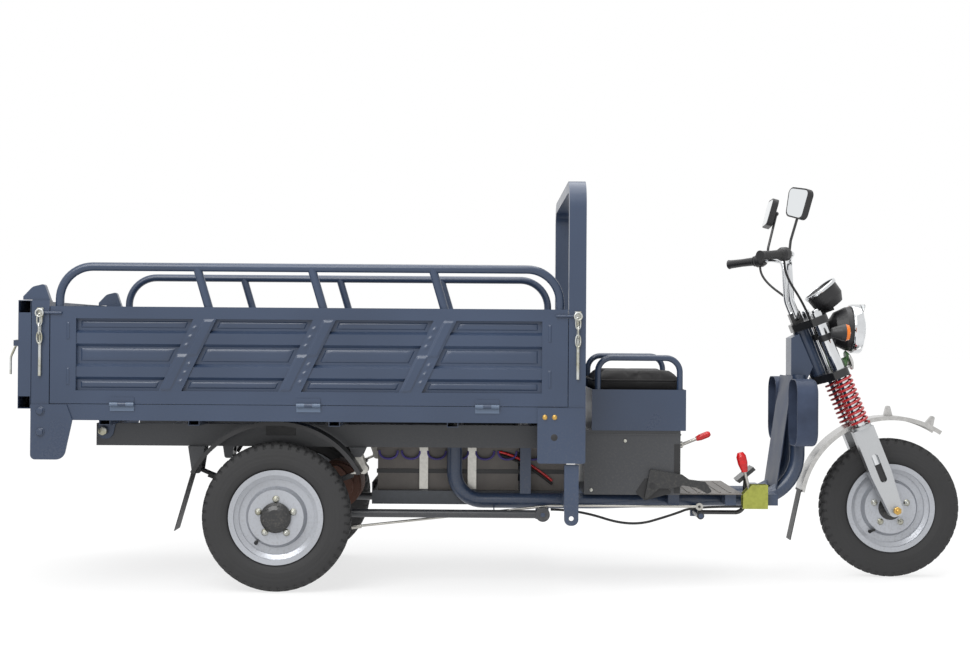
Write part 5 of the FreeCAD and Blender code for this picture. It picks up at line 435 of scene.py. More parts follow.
# Finishes of the model's own nodes
def two_finish(name, first, second, low, high):
    """Finish that turns from the first to the second inside a box: colour, gloss and metal change alike."""
    made = Finish(name, first[0], first[1])
    spot = made.inside(low, high)
    cloud = made.noise(60.0, 3.0)
    vary = made.span(cloud, 0.3, 0.7, 0.85, 1.1)
    colour = made.blend(spot, first[0], second[0])
    scaled = made.node("ShaderNodeVectorMath", operation="SCALE")
    made.tree.links.new(colour, scaled.inputs[0])
    made.tree.links.new(vary, scaled.inputs["Scale"])
    made.put("Base Color", scaled.outputs["Vector"])
    gloss = made.span(spot, 0.0, 1.0, first[1], second[1])
    made.put("Roughness", made.combine("ADD", gloss, made.span(cloud, 0.3, 0.7, -0.05, 0.06)))
    made.put("Metallic", made.span(spot, 0.0, 1.0, first[2], second[2]))
    made.bump(made.noise(300.0, 2.0), 0.0003, 0.3)
    return made


# Colour, roughness and metal of the finishes that share a node
STEEL = (tone(178, 176, 170), 0.32, 1.0)
RED = (tone(196, 22, 26), 0.28, 0.0)
BLACK = (tone(27, 27, 29), 0.45, 0.0)
CLEAR_ZINC = (tone(188, 186, 180), 0.32, 0.85)
GRAPHITE = (tone(62, 66, 72), 0.38, 0.0)
SHEET = (tone(186, 185, 183), 0.24, 1.0)
AMBER = (tone(226, 118, 22), 0.14, 0.0)
YELLOW_ZINC = (tone(158, 162, 80), 0.34, 0.85)
GREEN = (tone(96, 140, 88), 0.4, 0.0)
LENS_DEPTH, STRAP_RISE = 0.0221, 0.004
signal_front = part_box("turn_signals")[1].x - LENS_DEPTH
strap_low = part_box("batteries")[0].z + STRAP_RISE

# Node: name of its finish, the two finishes, and two corners of the box that takes the second
SHARED_NODES = {
    "gear_lever": ("gear_lever_finish", STEEL, RED, (0.5, -1, 0.4155), (1.2, 1, 0.7)),
    "dump_lever": ("tip_lever_finish", STEEL, RED, (0.7126, -1, 0.4), (1.2, 1, 0.8)),
    "battery_tray": ("battery_tray_finish", GRAPHITE, CLEAR_ZINC, (-0.45, -0.2, strap_low), (0.2, 0.2, 0.7)),
    "front_fender": ("front_fender_finish", SHEET, BLACK, (1.0, -0.2, 0.05), (1.14, 0.2, 0.334)),
    "turn_signals": ("turn_signal_finish", BLACK, AMBER, (signal_front, -1, 0.5), (2.0, 1, 1.3)),
    "leaf_springs": ("leaf_spring_finish", BLACK, CLEAR_ZINC, (-0.556, -1, 0.411), (-0.49, 1, 0.51)),
    "lever_brackets": ("lever_bracket_finish", BLACK, YELLOW_ZINC, (0.75, -0.5, 0.2), (1.2, 0.5, 0.6)),
    "horn": ("horn_finish", SHEET, GREEN, (1.2, -0.2, 0.7), (1.318, 0.2, 0.9)),
}
NODE_FINISHES = {
    slate: "bed_floor bed_posts front_hoop side_panel_left side_panel_right tailgate seat_pan main_frame",
    slate_painted_highlight: "side_hinge_leaves",
    graphite: "chassis_ladder seat_box thrust_tubes",
    jet: "brake_pedal front_hub mirror_stems rear_axle rear_hub_left rear_hub_right steering_yoke "
         "hand_brake_lever",
    oxide: "drive_motor",
    wheel_silver: "front_rim rear_rim_left rear_rim_right",
    tread_rubber: "front_tyre rear_tyre_left rear_tyre_right",
    soft_rubber: "bar_cables frame_cables throttle_grip seat_cushion",
    taupe_shell: "batteries floor_board",
    black_shell: "bar_controls headlight_shell instrument mirror_head_left mirror_head_right rear_fenders",
    navy_shell: "leg_shield",
    cast_alloy: "fork_legs",
    chrome: "fork_tubes handlebar",
    drawn_steel: "brake_rod front_axle",
    clear_zinc: "side_locks tailgate_latch_left tailgate_latch_right",
    cherry: "fork_springs",
    lamp_glass: "headlight_glass",
    red_lens: "tail_lamps",
}
NODE_FINISHES.update({two_finish(*values): name for name, values in SHARED_NODES.items()})
for finish, names in NODE_FINISHES.items():
    for name in names.split():
        for place in nodes[name].material_slots:
            place.material = finish.material


# Tyres with their tread
BEAD_RADIUS, CROWN_RADIUS, FLANK_RADIUS = 0.1535, 0.2475, 0.185
REAR_TYRE_HALF, FRONT_TYRE_HALF = 0.052, 0.046
REAR_BLOCKS, FRONT_BLOCKS = 52, 48
# Outline from bead to crown: radius and width in the bead, then radius and share of the half width
BEAD_OUTLINE = np.array([(BEAD_RADIUS, 0.0355), (0.168, 0.0357)])
OUTER_SHARES = np.array([(0.176, 0.86), (0.193, 0.985), (0.212, 1.0), (0.233, 0.975), (0.2485, 0.90),
                         (0.2575, 0.80), (0.2625, 0.6), (0.2645, 0.3), (0.265, 0.0)])
INNER_SHARES = np.array([(0.17, -0.7), (0.24, -0.6), (0.253, 0.0), (0.24, 0.6), (0.17, 0.7)])
INNER_BEAD = 0.026
GROOVE_DEPTH, GROOVE_THRESHOLD, RIB_HEIGHT, RIB_PACE = 0.0065, 0.62, 0.0006, 900
# Shares of the half width: where shoulder blocks begin, half of each ring groove, edges of crown and flank
ROW_EDGE_SHARE, RING_GROOVE_SHARE, MIDDLE_GROOVE_SHARE = 0.52, 0.05, 0.035
CROWN_SHARE, FLANK_SHARE = 0.93, 0.9
SHOULDER_LEAN, MIDDLE_LEAN = 0.5, -2.2
HALF_POINTS, BLOCK_STEPS = 44, 12


def tyre_surface(half_width, blocks):
    """Closed tyre section carried round the axle. The crown sinks by the groove depth wherever a wave across
    the blocks rises above its threshold or a ring groove runs; the flanks carry fine ribs."""
    outer = np.concatenate([BEAD_OUTLINE, OUTER_SHARES * [1, half_width]])
    half = smooth_line(np.column_stack([outer, np.zeros(len(outer))]), HALF_POINTS)[:, :2]
    inner = np.concatenate([[(BEAD_RADIUS, -INNER_BEAD)], INNER_SHARES * [1, half_width],
                            [(BEAD_RADIUS, INNER_BEAD)]])
    section = np.concatenate([half, half[-2::-1] * [1, -1], inner])
    outside = np.arange(len(section))[:, None] < len(section) - len(inner)
    steps = blocks * BLOCK_STEPS
    turn = np.linspace(0, 2 * np.pi, steps, endpoint=False)[None, :]
    radius, across = section[:, :1], section[:, 1:]
    share = across / half_width
    off = np.abs(share)
    crown = (radius > CROWN_RADIUS) & (off < CROWN_SHARE) & outside
    row_offset = np.where(off > ROW_EDGE_SHARE, np.pi, 0.0)
    lean = np.where(off > ROW_EDGE_SHARE, SHOULDER_LEAN, MIDDLE_LEAN * np.sign(share)) * off
    cross_groove = np.cos(blocks * turn + row_offset + lean * 2) > GROOVE_THRESHOLD
    ring_groove = (np.abs(off - ROW_EDGE_SHARE) < RING_GROOVE_SHARE) | (off < MIDDLE_GROOVE_SHARE)
    depth = np.where(crown & (cross_groove | ring_groove), GROOVE_DEPTH, 0.0)
    flank = (off > FLANK_SHARE) & (radius > FLANK_RADIUS) & outside
    rib = np.where(flank, RIB_HEIGHT * np.cos((radius - FLANK_RADIUS) * RIB_PACE), 0.0) * np.sign(across)
    radius = radius - depth
    width = np.broadcast_to(across + rib, radius.shape)
    points = np.stack([radius * np.cos(turn), width, radius * np.sin(turn)], -1)
    return points.reshape(-1, 3), grid_faces(len(section), steps, close_rows=True, close_columns=True)


def tyre_piece(name, body, centre, half_width, blocks, node):
    """Tyre of one wheel, in place of its plain solid."""
    points, faces = tyre_surface(half_width, blocks)
    piece = add(name, points + centre, faces, tread_rubber, body, "tyre_rubber")
    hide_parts(node)


for side, sign in SIDES:
    tyre_piece(f"tread_tyre_rear_{side}", f"rear_wheel_{side}", REAR_AXLE + [0, sign * WHEEL_Y, 0],
               REAR_TYRE_HALF, REAR_BLOCKS, f"rear_tyre_{side}")
tyre_piece("tread_tyre_front", "front_wheel", FRONT_AXLE, FRONT_TYRE_HALF, FRONT_BLOCKS, "front_tyre")


# Wheel fasteners: five lug bolts with washers, a valve, and the cap's ring of screws
LUG_COUNT, LUG_CIRCLE, LUG_FACE = 5, 0.065, 0.034
CAP_SCREWS, CAP_CIRCLE, CAP_FACE = 6, 0.041, 0.0475
VALVE_CIRCLE, VALVE_FACE, VALVE_LEAN = 0.118, 0.012, 0.35
VALVE_TURN_RIGHT, VALVE_TURN_LEFT = math.radians(232), math.radians(308)
LUG_HEAD, LUG_WASHER, LUG_STUD = (0.017, 0.011, 0.002), (0.0125, 0.002), (0.005, 0.016, 0.0172, 16)
CAP_SCREW = (0.010, 0.008, 0.0012)
VALVE_PROFILE = [(TIP, 0.0), (0.0075, 0.0), (0.006, 0.008), (0.0045, 0.022), (0.0045, 0.03), (0.0052, 0.031),
                 (0.0052, 0.039), (0.004, 0.041), (TIP, 0.041)]


def even_turns(count):
    """Even angles round a wheel, the first a quarter of a step on."""
    return 2 * np.pi * (np.arange(count) + 0.25) / count


def on_circle(radius, angles, y, centre):
    """Places on a circle about a wheel's axle."""
    return np.stack([radius * np.cos(angles), np.full(len(angles), y), radius * np.sin(angles)], -1) + centre


def wheel_fasteners(name, body, centre, sign, capped):
    """Hexagon heads on the lug circle, a valve on the well, and small screws on the cap, facing outwards."""
    out = [0, sign, 0]
    spots = on_circle(LUG_CIRCLE, even_turns(LUG_COUNT), sign * LUG_FACE, centre)
    lug_parts = (hexagon(*LUG_HEAD), disc(*LUG_WASHER), stud(*LUG_STUD))
    lugs = together(*[placed(part, spots, out) for part in lug_parts])
    add(name + "_lugs", *lugs, clear_zinc, body, "zinc")
    turn = VALVE_TURN_RIGHT if sign < 0 else VALVE_TURN_LEFT
    foot = on_circle(VALVE_CIRCLE, np.array([turn]), sign * VALVE_FACE, centre)
    way = np.array([-math.cos(turn) * VALVE_LEAN, sign, -math.sin(turn) * VALVE_LEAN])
    add(name + "_valve", *placed(lathe(VALVE_PROFILE, 16), foot, way), soft_rubber, body, "rubber")
    if capped:
        spots = on_circle(CAP_CIRCLE, even_turns(CAP_SCREWS), sign * CAP_FACE, centre)
        add(name + "_cap_screws", *placed(hexagon(*CAP_SCREW), spots, out), jet, body, "zinc")


for side, sign in SIDES:
    wheel = f"rear_wheel_{side}"
    wheel_fasteners(wheel, wheel, REAR_AXLE + [0, sign * WHEEL_Y, 0], sign, True)
wheel_fasteners("front_wheel", "front_wheel", FRONT_AXLE, -1.0, False)


# Pressed forms of the drop sides: Z-shaped brace ridges with dimples, fields in the recessed rows, and slots
RAIL_LOW, RAIL_HIGH = 0.712, 0.964
SHEET_BACK, SHEET_FRONT = -1.505, 0.125
PANEL_BACK, PANEL_LENGTH = -1.595, 1.810
BRACE_SHARES = np.array([0.265, 0.496, 0.729])
BRACES = PANEL_BACK + PANEL_LENGTH * BRACE_SHARES
BRACE_HALF, BRACE_LEAN = 0.040, 0.120
RIDGE_HEIGHT, DIMPLE_HEIGHT, DIMPLE_RADIUS = 0.0048, 0.0035, 0.0065
RIDGE_GRID, RIDGE_CLEARANCE = (33, 73), 0.0001
# Shares across and up a brace: the two halves of its ridge, its slopes, and where it crosses over
FRONT_RIDGE_SHARES, REAR_RIDGE_SHARES, RIDGE_SLOPE_SHARE = (0.46, 0.97), (0.03, 0.54), 0.08
CROSSING_SHARE, CROSSING_SLOPE_SHARE, END_SLOPE_SHARE = 0.47, 0.05, 0.03
DIMPLE_ROW_SHARES, UPPER_ROW_SHARE = (0.13, 0.25, 0.37), 0.5
FRONT_DIMPLE_SHARE, REAR_DIMPLE_SHARE = 0.76, 0.24
FIELD_ROWS = ((0.720, 0.746), (0.813, 0.862), (0.930, 0.957))
FIELD_MARGIN, FIELD_LEVEL, FIELD_RISE, FIELD_SLOPE = 0.014, 0.5336, 0.0035, 0.006
SLOT_PLACES, SLOT_ROWS = (-1.532, 0.152), ((0.730, 0.792), (0.890, 0.952))
SLOT_HALF, SLOT_SINK, SLOT_RISE, SLOT_SLOPE = 0.006, 0.0003, 0.003, 0.0028


def brace_shift(z):
    """How far a leaning brace has moved forward at a height."""
    return BRACE_LEAN * ((z - RAIL_LOW) / (RAIL_HIGH - RAIL_LOW) - 0.5)


def plateau(value, low, high, slope):
    """Smooth rise to 1 over the slope above the low edge, and the same fall below the high edge."""
    return soft_step((value - low) / slope) * soft_step((high - value) / slope)


def brace_ridge(centre, sign):
    """Ridge that runs up the rear half, crosses over at mid height and goes on up the front half, with three
    round dimples beside it in each half: height = plateau(u) blended over v, plus bell-shaped dimples."""
    u = np.linspace(0, 1, RIDGE_GRID[0])[:, None]
    v = np.linspace(0, 1, RIDGE_GRID[1])[None, :]
    front = plateau(u, *FRONT_RIDGE_SHARES, RIDGE_SLOPE_SHARE)
    rear = plateau(u, *REAR_RIDGE_SHARES, RIDGE_SLOPE_SHARE)
    cross = soft_step((v - CROSSING_SHARE) / CROSSING_SLOPE_SHARE)
    ends = plateau(v, 0, 1, END_SLOPE_SHARE)
    lift = RIDGE_HEIGHT * (front * cross + rear * (1 - cross)) * ends
    tall = RAIL_HIGH - RAIL_LOW
    for row in DIMPLE_ROW_SHARES:
        for across, up in ((FRONT_DIMPLE_SHARE, row), (REAR_DIMPLE_SHARE, row + UPPER_ROW_SHARE)):
            away = ((u - across) * 2 * BRACE_HALF) ** 2 + ((v - up) * tall) ** 2
            lift = lift + DIMPLE_HEIGHT * np.exp(-away / DIMPLE_RADIUS ** 2)
    z = RAIL_LOW + v * tall
    x = centre + brace_shift(z) + (u - 0.5) * 2 * BRACE_HALF
    x, z = np.broadcast_arrays(x, z)
    points = np.stack([x, sign * (BED_SIDE + RIDGE_CLEARANCE + lift), z], -1).reshape(-1, 3)
    return facing(points, grid_faces(*RIDGE_GRID), [0, sign, 0])


def bay_edges(bay, z):
    """Back and front edge of a field at a height, between the sheet's ends and the leaning braces."""
    back = SHEET_BACK if bay == 0 else BRACES[bay - 1] + brace_shift(z) + BRACE_HALF
    front = SHEET_FRONT if bay == len(BRACES) else BRACES[bay] + brace_shift(z) - BRACE_HALF
    return back + FIELD_MARGIN, front - FIELD_MARGIN


def row_field(bay, low, high, sign):
    """Raised field in one bay of a recessed row: a slanted four-sided pad between two braces."""
    (back_low, front_low), (back_high, front_high) = bay_edges(bay, low), bay_edges(bay, high)
    corners = [(back_low, low), (front_low, low), (front_high, high), (back_high, high)]
    pad = pressed_pad([(x, sign * FIELD_LEVEL, z) for x, z in corners], [0, sign, 0], FIELD_RISE, FIELD_SLOPE)
    return facing(*pad, [0, sign, 0])


def stile_slot(x, low, high, sign):
    """Raised upright slot on an end stile of a drop side."""
    corners = [(x - SLOT_HALF, low), (x + SLOT_HALF, low), (x + SLOT_HALF, high), (x - SLOT_HALF, high)]
    pad = pressed_pad([(x, sign * (BED_SIDE - SLOT_SINK), z) for x, z in corners], [0, sign, 0], SLOT_RISE,
                      SLOT_SLOPE, (10, 20))
    return facing(*pad, [0, sign, 0])


for side, sign in SIDES:
    ridges = [brace_ridge(x, sign) for x in BRACES]
    fields = [row_field(bay, low, high, sign) for low, high in FIELD_ROWS for bay in range(len(BRACES) + 1)]
    slots = [stile_slot(x, low, high, sign) for x in SLOT_PLACES for low, high in SLOT_ROWS]
    for name, pressings in (("brace_ridges", ridges), ("row_fields", fields), ("stile_slots", slots)):
        add(f"{name}_{side}", *together(*pressings), slate, f"side_{side}", "body_paint")


# Bolts of the bed: corner plates and tip pivots
PLATE_FACE = 0.556
REAR_BOLTS, FRONT_BOLTS = ((-1.626, 0.640), (-1.626, 0.566)), ((0.136, 0.629), (0.170, 0.629))
REAR_HEAD, REAR_WASHER = (0.022, 0.010, 0.002), (0.016, 0.0022)
FRONT_HEAD, FRONT_WASHER = (0.013, 0.007, 0.0015), (0.009, 0.0016)
TIP_NUT, TIP_PIVOT_X, TIP_NUT_Y, TIP_PIVOT_Z = (0.030, 0.014, 0.003), -1.447, 0.3865, 0.562
for side, sign in SIDES:
    out = [0, sign, 0]
    rear, front = ([(x, sign * PLATE_FACE, z) for x, z in bolts] for bolts in (REAR_BOLTS, FRONT_BOLTS))
    large = together(placed(hexagon(*REAR_HEAD), rear, out), placed(disc(*REAR_WASHER), rear, out))
    add(f"rear_plate_bolts_{side}", *large, slate, "bed", "body_paint")
    small = together(placed(hexagon(*FRONT_HEAD), front, out), placed(disc(*FRONT_WASHER), front, out))
    add(f"front_plate_bolts_{side}", *small, brass, "bed", "zinc")
    nut = placed(hexagon(*TIP_NUT), [(TIP_PIVOT_X, sign * TIP_NUT_Y, TIP_PIVOT_Z)], out)
    add(f"tip_pivot_nut_{side}", *nut, clear_zinc, "chassis", "zinc")


# Chains of the side locks
LOCK_PLACES = (-1.6297, 0.2497)
CHAIN_TOP, CHAIN_PITCH, CHAIN_Y, CHAIN_WIRE, CHAIN_LINKS = 0.958, 0.031, 0.563, 0.0028, 3
LINK_REACH, LINK_STRETCH, LINK_HALF_WIDTH = 0.017, 0.004, 0.0085


def lock_chain(x, sign):
    """Links of round wire: each is a stretched ring, every other one turned a quarter."""
    turn = np.linspace(0, 2 * np.pi, 32, endpoint=False)
    rise = np.sin(turn)
    along = LINK_REACH * rise + LINK_STRETCH * np.sign(rise) * np.abs(rise) ** 0.5
    across, still = LINK_HALF_WIDTH * np.cos(turn), np.zeros(len(turn))
    links = []
    for k in range(CHAIN_LINKS):
        wide, deep = (still, across) if k % 2 else (across, still)
        path = np.stack([x + wide, sign * CHAIN_Y + deep, CHAIN_TOP - CHAIN_PITCH * k + along], -1)
        links.append(tube(path, CHAIN_WIRE, 8, closed=True))
    return together(*links)


for side, sign in SIDES:
    chains = [lock_chain(x, sign) for x in LOCK_PLACES]
    add(f"lock_chains_{side}", *together(*chains), clear_zinc, "bed", "zinc")


# Seat cushion, blown up as cloth
CUSHION_SHARES = [0.975, 0.98, 0.94]
CUSHION_VOXEL, CUSHION_SWELL, CUSHION_CROWN = 0.0065, 0.014, 0.004
CLOTH_PRESSURE, CLOTH_FRAMES = 4.0, 20
QUILT_DEPTH, QUILT_WIDTH = 0.0025, 0.03
MERGE_DISTANCE = 1e-5
PIPING_INSET, PIPING_CORNER, PIPING_RISE, PIPING_RADIUS = 0.002, 0.04, 0.064, 0.0035


def even_mesh(piece):
    """Mesh of a piece after its modifiers."""
    ready = piece.evaluated_get(bpy.context.evaluated_depsgraph_get())
    return bpy.data.meshes.new_from_object(ready)


def mesh_points(mesh):
    """Places of a mesh's points."""
    points = np.empty(len(mesh.vertices) * 3)
    mesh.vertices.foreach_get("co", points)
    return points.reshape(-1, 3)


def blown_cushion():
    """The cushion's solid, drawn in a little, remeshed evenly and blown up by cloth pressure; no point moves
    further than the swell, and the underside stays on the seat pan. A line is quilted across the top."""
    source = nodes["seat_cushion"]
    mesh = source.data.copy()
    mesh.transform(source.matrix_world)
    work = bmesh.new()
    work.from_mesh(mesh)
    bmesh.ops.remove_doubles(work, verts=work.verts, dist=MERGE_DISTANCE)
    work.to_mesh(mesh)
    work.free()
    start = mesh_points(mesh)
    low, high = start.min(0), start.max(0)
    middle = (low + high) / 2
    start = middle + (start - middle) * CUSHION_SHARES
    start[:, 2] += low[2] - start[:, 2].min()
    mesh.vertices.foreach_set("co", start.ravel())
    piece = bpy.data.objects.new("padded_cushion", mesh)
    bpy.context.scene.collection.objects.link(piece)
    even = piece.modifiers.new("even", "REMESH")
    even.mode = "VOXEL"
    even.voxel_size = CUSHION_VOXEL
    piece.data = even_mesh(piece)
    piece.modifiers.clear()
    before = mesh_points(piece.data)
    cloth = piece.modifiers.new("cloth", "CLOTH")
    cloth.settings.use_pressure = True
    cloth.settings.uniform_pressure_force = CLOTH_PRESSURE
    cloth.settings.effector_weights.gravity = 0.0
    for step in range(1, CLOTH_FRAMES + 1):
        bpy.context.scene.frame_set(step)
    after = mesh_points(even_mesh(piece))
    bpy.context.scene.frame_set(1)
    piece.modifiers.clear()
    move = after - before
    size = np.linalg.norm(move, axis=1, keepdims=True)
    before = before + move * np.minimum(1, CUSHION_SWELL / np.maximum(size, 1e-9))
    across = (before - middle) / ((high - low) / 2)
    quilt = QUILT_DEPTH * np.exp(-(across[:, 0] / QUILT_WIDTH) ** 2) * (before[:, 2] > middle[2])
    before[:, 2] = np.clip(before[:, 2] - quilt, low[2], high[2] + CUSHION_CROWN)
    piece.data.vertices.foreach_set("co", before.ravel())
    finer = piece.modifiers.new("finer", "SUBSURF")
    finer.levels = finer.render_levels = 1
    piece.data = even_mesh(piece)
    piece.modifiers.clear()
    piece.data.materials.clear()
    piece.data.materials.append(seat_vinyl.material)
    piece.data.polygons.foreach_set("use_smooth", np.full(len(piece.data.polygons), True))
    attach(piece, "chassis")
    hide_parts("seat_cushion")
    return low, high


def rounded_loop(low, high, radius, z, steps=10):
    """Closed loop of a rectangle with round corners at one height."""
    turn = np.linspace(0, np.pi / 2, steps)
    loop = []
    for k, (x, y) in enumerate(((high[0], high[1]), (low[0], high[1]), (low[0], low[1]), (high[0], low[1]))):
        inward = np.array([x - radius * np.sign(x - (low[0] + high[0]) / 2), y - radius * np.sign(y)])
        angle = turn + k * np.pi / 2
        loop.append(np.stack([inward[0] + radius * np.cos(angle), inward[1] + radius * np.sin(angle),
                              np.full(steps, z)], -1))
    return np.concatenate(loop)


cushion_low, cushion_high = blown_cushion()
piping = rounded_loop(cushion_low + PIPING_INSET, cushion_high - PIPING_INSET, PIPING_CORNER,
                      cushion_low[2] + PIPING_RISE)
piping = tube(piping, PIPING_RADIUS, 10, closed=True)
add("cushion_piping", *piping, seat_vinyl, "chassis", "seat_vinyl")


# Places on the fork: ahead and along are measured in the raked frame of the steering axis
def fork(ahead, y, along):
    """Point in the fork's raked frame, from the front axle."""
    return FRONT_AXLE + np.array([ahead * math.cos(RAKE) - along * math.sin(RAKE), y,
                                  ahead * math.sin(RAKE) + along * math.cos(RAKE)])


FORK_UP = np.array([-math.sin(RAKE), 0.0, math.cos(RAKE)])


def outward(shape):
    """The same closed shape with its faces looking outwards: the signed volume is above nought."""
    points, faces = shape
    a, b, c, d = (points[faces[:, k]] for k in range(4))
    volume = np.einsum("ij,ij->i", a, np.cross(b, c)).sum() + np.einsum("ij,ij->i", a, np.cross(c, d)).sum()
    return points, faces if volume > 0 else faces[:, ::-1]


def block(low, high):
    """Plain closed box between two corners."""
    low, high = np.asarray(low, float), np.asarray(high, float)
    bits = np.array([[k & 1, k >> 1 & 1, k >> 2 & 1] for k in range(8)])
    faces = np.array([[0, 2, 3, 1], [4, 5, 7, 6], [0, 1, 5, 4], [2, 6, 7, 3], [0, 4, 6, 2], [1, 3, 7, 5]])
    return low + bits * (high - low), faces


# Headlight: chrome rim, and a bowl behind the glass
FORWARD = [1, 0, 0]
RIM_PROFILE = [(0.0886, -0.026), (0.0925, -0.0245), (0.0945, -0.016), (0.0948, 0.006), (0.0935, 0.0125),
               (0.089, 0.0145), (0.0825, 0.0135), (0.0815, 0.0122), (0.0913, 0.0122), (0.0913, -0.0005),
               (0.0886, -0.0005)]
BOWL_RADIUS, BOWL_BACK, BOWL_DEPTH = 0.078, 0.001, 0.010
LAMP_AHEAD, LAMP_ALONG, LAMP_REACH = 0.086, 0.703, 0.056
lamp_front = fork(LAMP_AHEAD, 0.0, LAMP_ALONG) + [LAMP_REACH, 0.0, 0.0]
rim = placed(lathe(RIM_PROFILE, 96, closed=True), [lamp_front], FORWARD)
add("headlight_rim", *outward(rim), chrome, "steering", "chrome")
bowl_rise = np.linspace(0, 1, 12)
bowl = lathe(np.column_stack([BOWL_RADIUS * bowl_rise + TIP, BOWL_BACK + BOWL_DEPTH * bowl_rise ** 2]), 64)
bowl = facing(*placed(bowl, [lamp_front], FORWARD), FORWARD)
add("headlight_bowl", *bowl, chrome, "steering", "chrome")

# Instrument: chrome bezel, raised ticks and a needle
DIAL_AHEAD, DIAL_ALONG, DIAL_TILT = 0.088, 0.796, math.radians(38)
BEZEL_PROFILE = [(0.0672, 0.0725), (0.0688, 0.074), (0.0692, 0.083), (0.0675, 0.0862), (0.0635, 0.0868),
                 (0.0598, 0.0848), (0.0606, 0.0842), (0.0672, 0.0842)]
TICK_EDGE, LONG_TICK, SHORT_TICK, LONG_TICK_EVERY = 0.049, 0.012, 0.007, 4
TICK_HALF, TICK_LOW, TICK_HIGH = 0.0008, 0.0789, 0.0797
TICK_TURNS = np.linspace(0.2 * np.pi, 1.8 * np.pi, 25)
NEEDLE_CORNERS = [-0.008, -0.001, 0.0805], [0.034, 0.001, 0.0815]
dial = fork(DIAL_AHEAD, 0.0, DIAL_ALONG)
dial_way = np.array([-math.sin(DIAL_TILT), 0.0, math.cos(DIAL_TILT)])
dial_axes = axes_for(dial_way)
bezel = placed(lathe(BEZEL_PROFILE, 96, closed=True), [dial], dial_way)
add("instrument_bezel", *outward(bezel), chrome, "steering", "chrome")
marks = []
for k, turn in enumerate(TICK_TURNS):
    reach = SHORT_TICK if k % LONG_TICK_EVERY else LONG_TICK
    points, faces = block([TICK_EDGE - reach, -TICK_HALF, TICK_LOW], [TICK_EDGE, TICK_HALF, TICK_HIGH])
    spin = np.array([[math.cos(turn), -math.sin(turn), 0], [math.sin(turn), math.cos(turn), 0], [0, 0, 1]])
    marks.append((points @ spin.T @ dial_axes.T + dial, faces))
points, faces = block(*NEEDLE_CORNERS)
marks.append((points @ dial_axes.T + dial, faces))
add("instrument_marks", *together(*marks), clear_zinc, "steering", "chrome", smooth=False)


# Mirrors: silvered glass set into each head
# Top of the left stem and its direction there, as the model has them; the right one mirrors it
MIRROR_TOP = np.array([1.091137, 0.246945, 1.409978])
MIRROR_WAY = np.array([0.251818, 0.139899, 0.957609])
MIRROR_CORNERS = np.array([(-0.42, -0.45), (0.38, -0.55), (0.5, 0.4), (-0.5, 0.45)]) * [0.118, 0.122]
GLASS_INSET, GLASS_DOME, GLASS_CORNER = 0.1, 0.0012, 0.02
GLASS_PLACE = [-0.0339, 0.0118, 0.0]
GLASS_SHARES = np.array([1.0, 0.9, 0.6, 0.3, 1e-4])
RIGHT_MIRROR_TURN = math.radians(30)  # the right head is turned on its stem


def about(axis, angle):
    """Turning matrix about an axis."""
    return np.array(Matrix.Rotation(angle, 3, Vector(axis)))


def mirror_sheet(steps=9):
    """Four-cornered glass with round corners, drawn in from the head's edge and slightly domed."""
    centre = MIRROR_CORNERS.mean(0)
    corners = centre + (MIRROR_CORNERS - centre) * (1 - GLASS_INSET)
    edge = []
    for k in range(4):
        here, back, on = corners[k], corners[k - 1], corners[(k + 1) % 4]
        first = here + (back - here) / np.linalg.norm(back - here) * GLASS_CORNER
        last = here + (on - here) / np.linalg.norm(on - here) * GLASS_CORNER
        t = np.linspace(0, 1, steps)[:, None]
        edge.append((1 - t) ** 2 * first + 2 * t * (1 - t) * here + t ** 2 * last)
    edge = np.concatenate(edge)
    share = GLASS_SHARES[:, None, None]
    flat = centre + (edge - centre) * share
    depth = np.broadcast_to(GLASS_DOME * (1 - share ** 2), (*flat.shape[:2], 1))
    points = np.concatenate([-depth, flat], -1)
    return points.reshape(-1, 3), grid_faces(len(GLASS_SHARES), len(edge), close_columns=True)


for side, sign in SIDES:
    points, faces = mirror_sheet()
    lean = about([0, 1, 0], math.atan2(MIRROR_WAY[0], MIRROR_WAY[2]))
    points = ((points + GLASS_PLACE) @ lean.T) * [1, sign, 1]
    if sign < 0:
        points = points @ about(MIRROR_WAY * [1, sign, 1], RIGHT_MIRROR_TURN).T
    glass = facing(points + MIRROR_TOP * [1, sign, 1], faces, [-1, 0, 0])
    add(f"mirror_glass_{side}", *glass, mirror_glass, f"mirror_{side}", "mirror_shell")


# Fork: black plates of painted shade on the floors of the leg slots, caps on the tubes and the brass axle
# nuts
LEG_SLOT_RADIUS, LEG_SLOT_REACH, LEG_SLOT_MIDDLE, LEG_SLOT_Y = 0.0122, 0.0425, 0.170, 0.1074
LEG_SLOT_STEPS, LEG_SLOT_CORE_SHARE = 40, 1e-3
FORK_TUBE_Y, FORK_TUBE_TOP = 0.093, 0.805
FORK_CAP, AXLE_NUT, AXLE_STUD = (0.026, 0.010, 0.003), (0.027, 0.012, 0.003), (0.007, 0.019, 0.0205, 20)


def slot_shade_plate(sign):
    """Stadium-shaped black plate on the floor of a leg's slot: painted shade standing in for the shadow in
    the slot.
    """
    turn = np.linspace(0, 2 * np.pi, LEG_SLOT_STEPS, endpoint=False)
    ahead = LEG_SLOT_RADIUS * np.cos(turn)
    along = LEG_SLOT_MIDDLE + np.sign(np.sin(turn)) * LEG_SLOT_REACH + LEG_SLOT_RADIUS * np.sin(turn)
    loop = np.stack([fork(a, sign * LEG_SLOT_Y, b) for a, b in zip(ahead, along)])
    middle = fork(0.0, sign * LEG_SLOT_Y, LEG_SLOT_MIDDLE)
    points = np.concatenate([loop, middle + (loop - middle) * LEG_SLOT_CORE_SHARE])
    return facing(points, grid_faces(2, LEG_SLOT_STEPS, close_columns=True), [0, sign, 0])


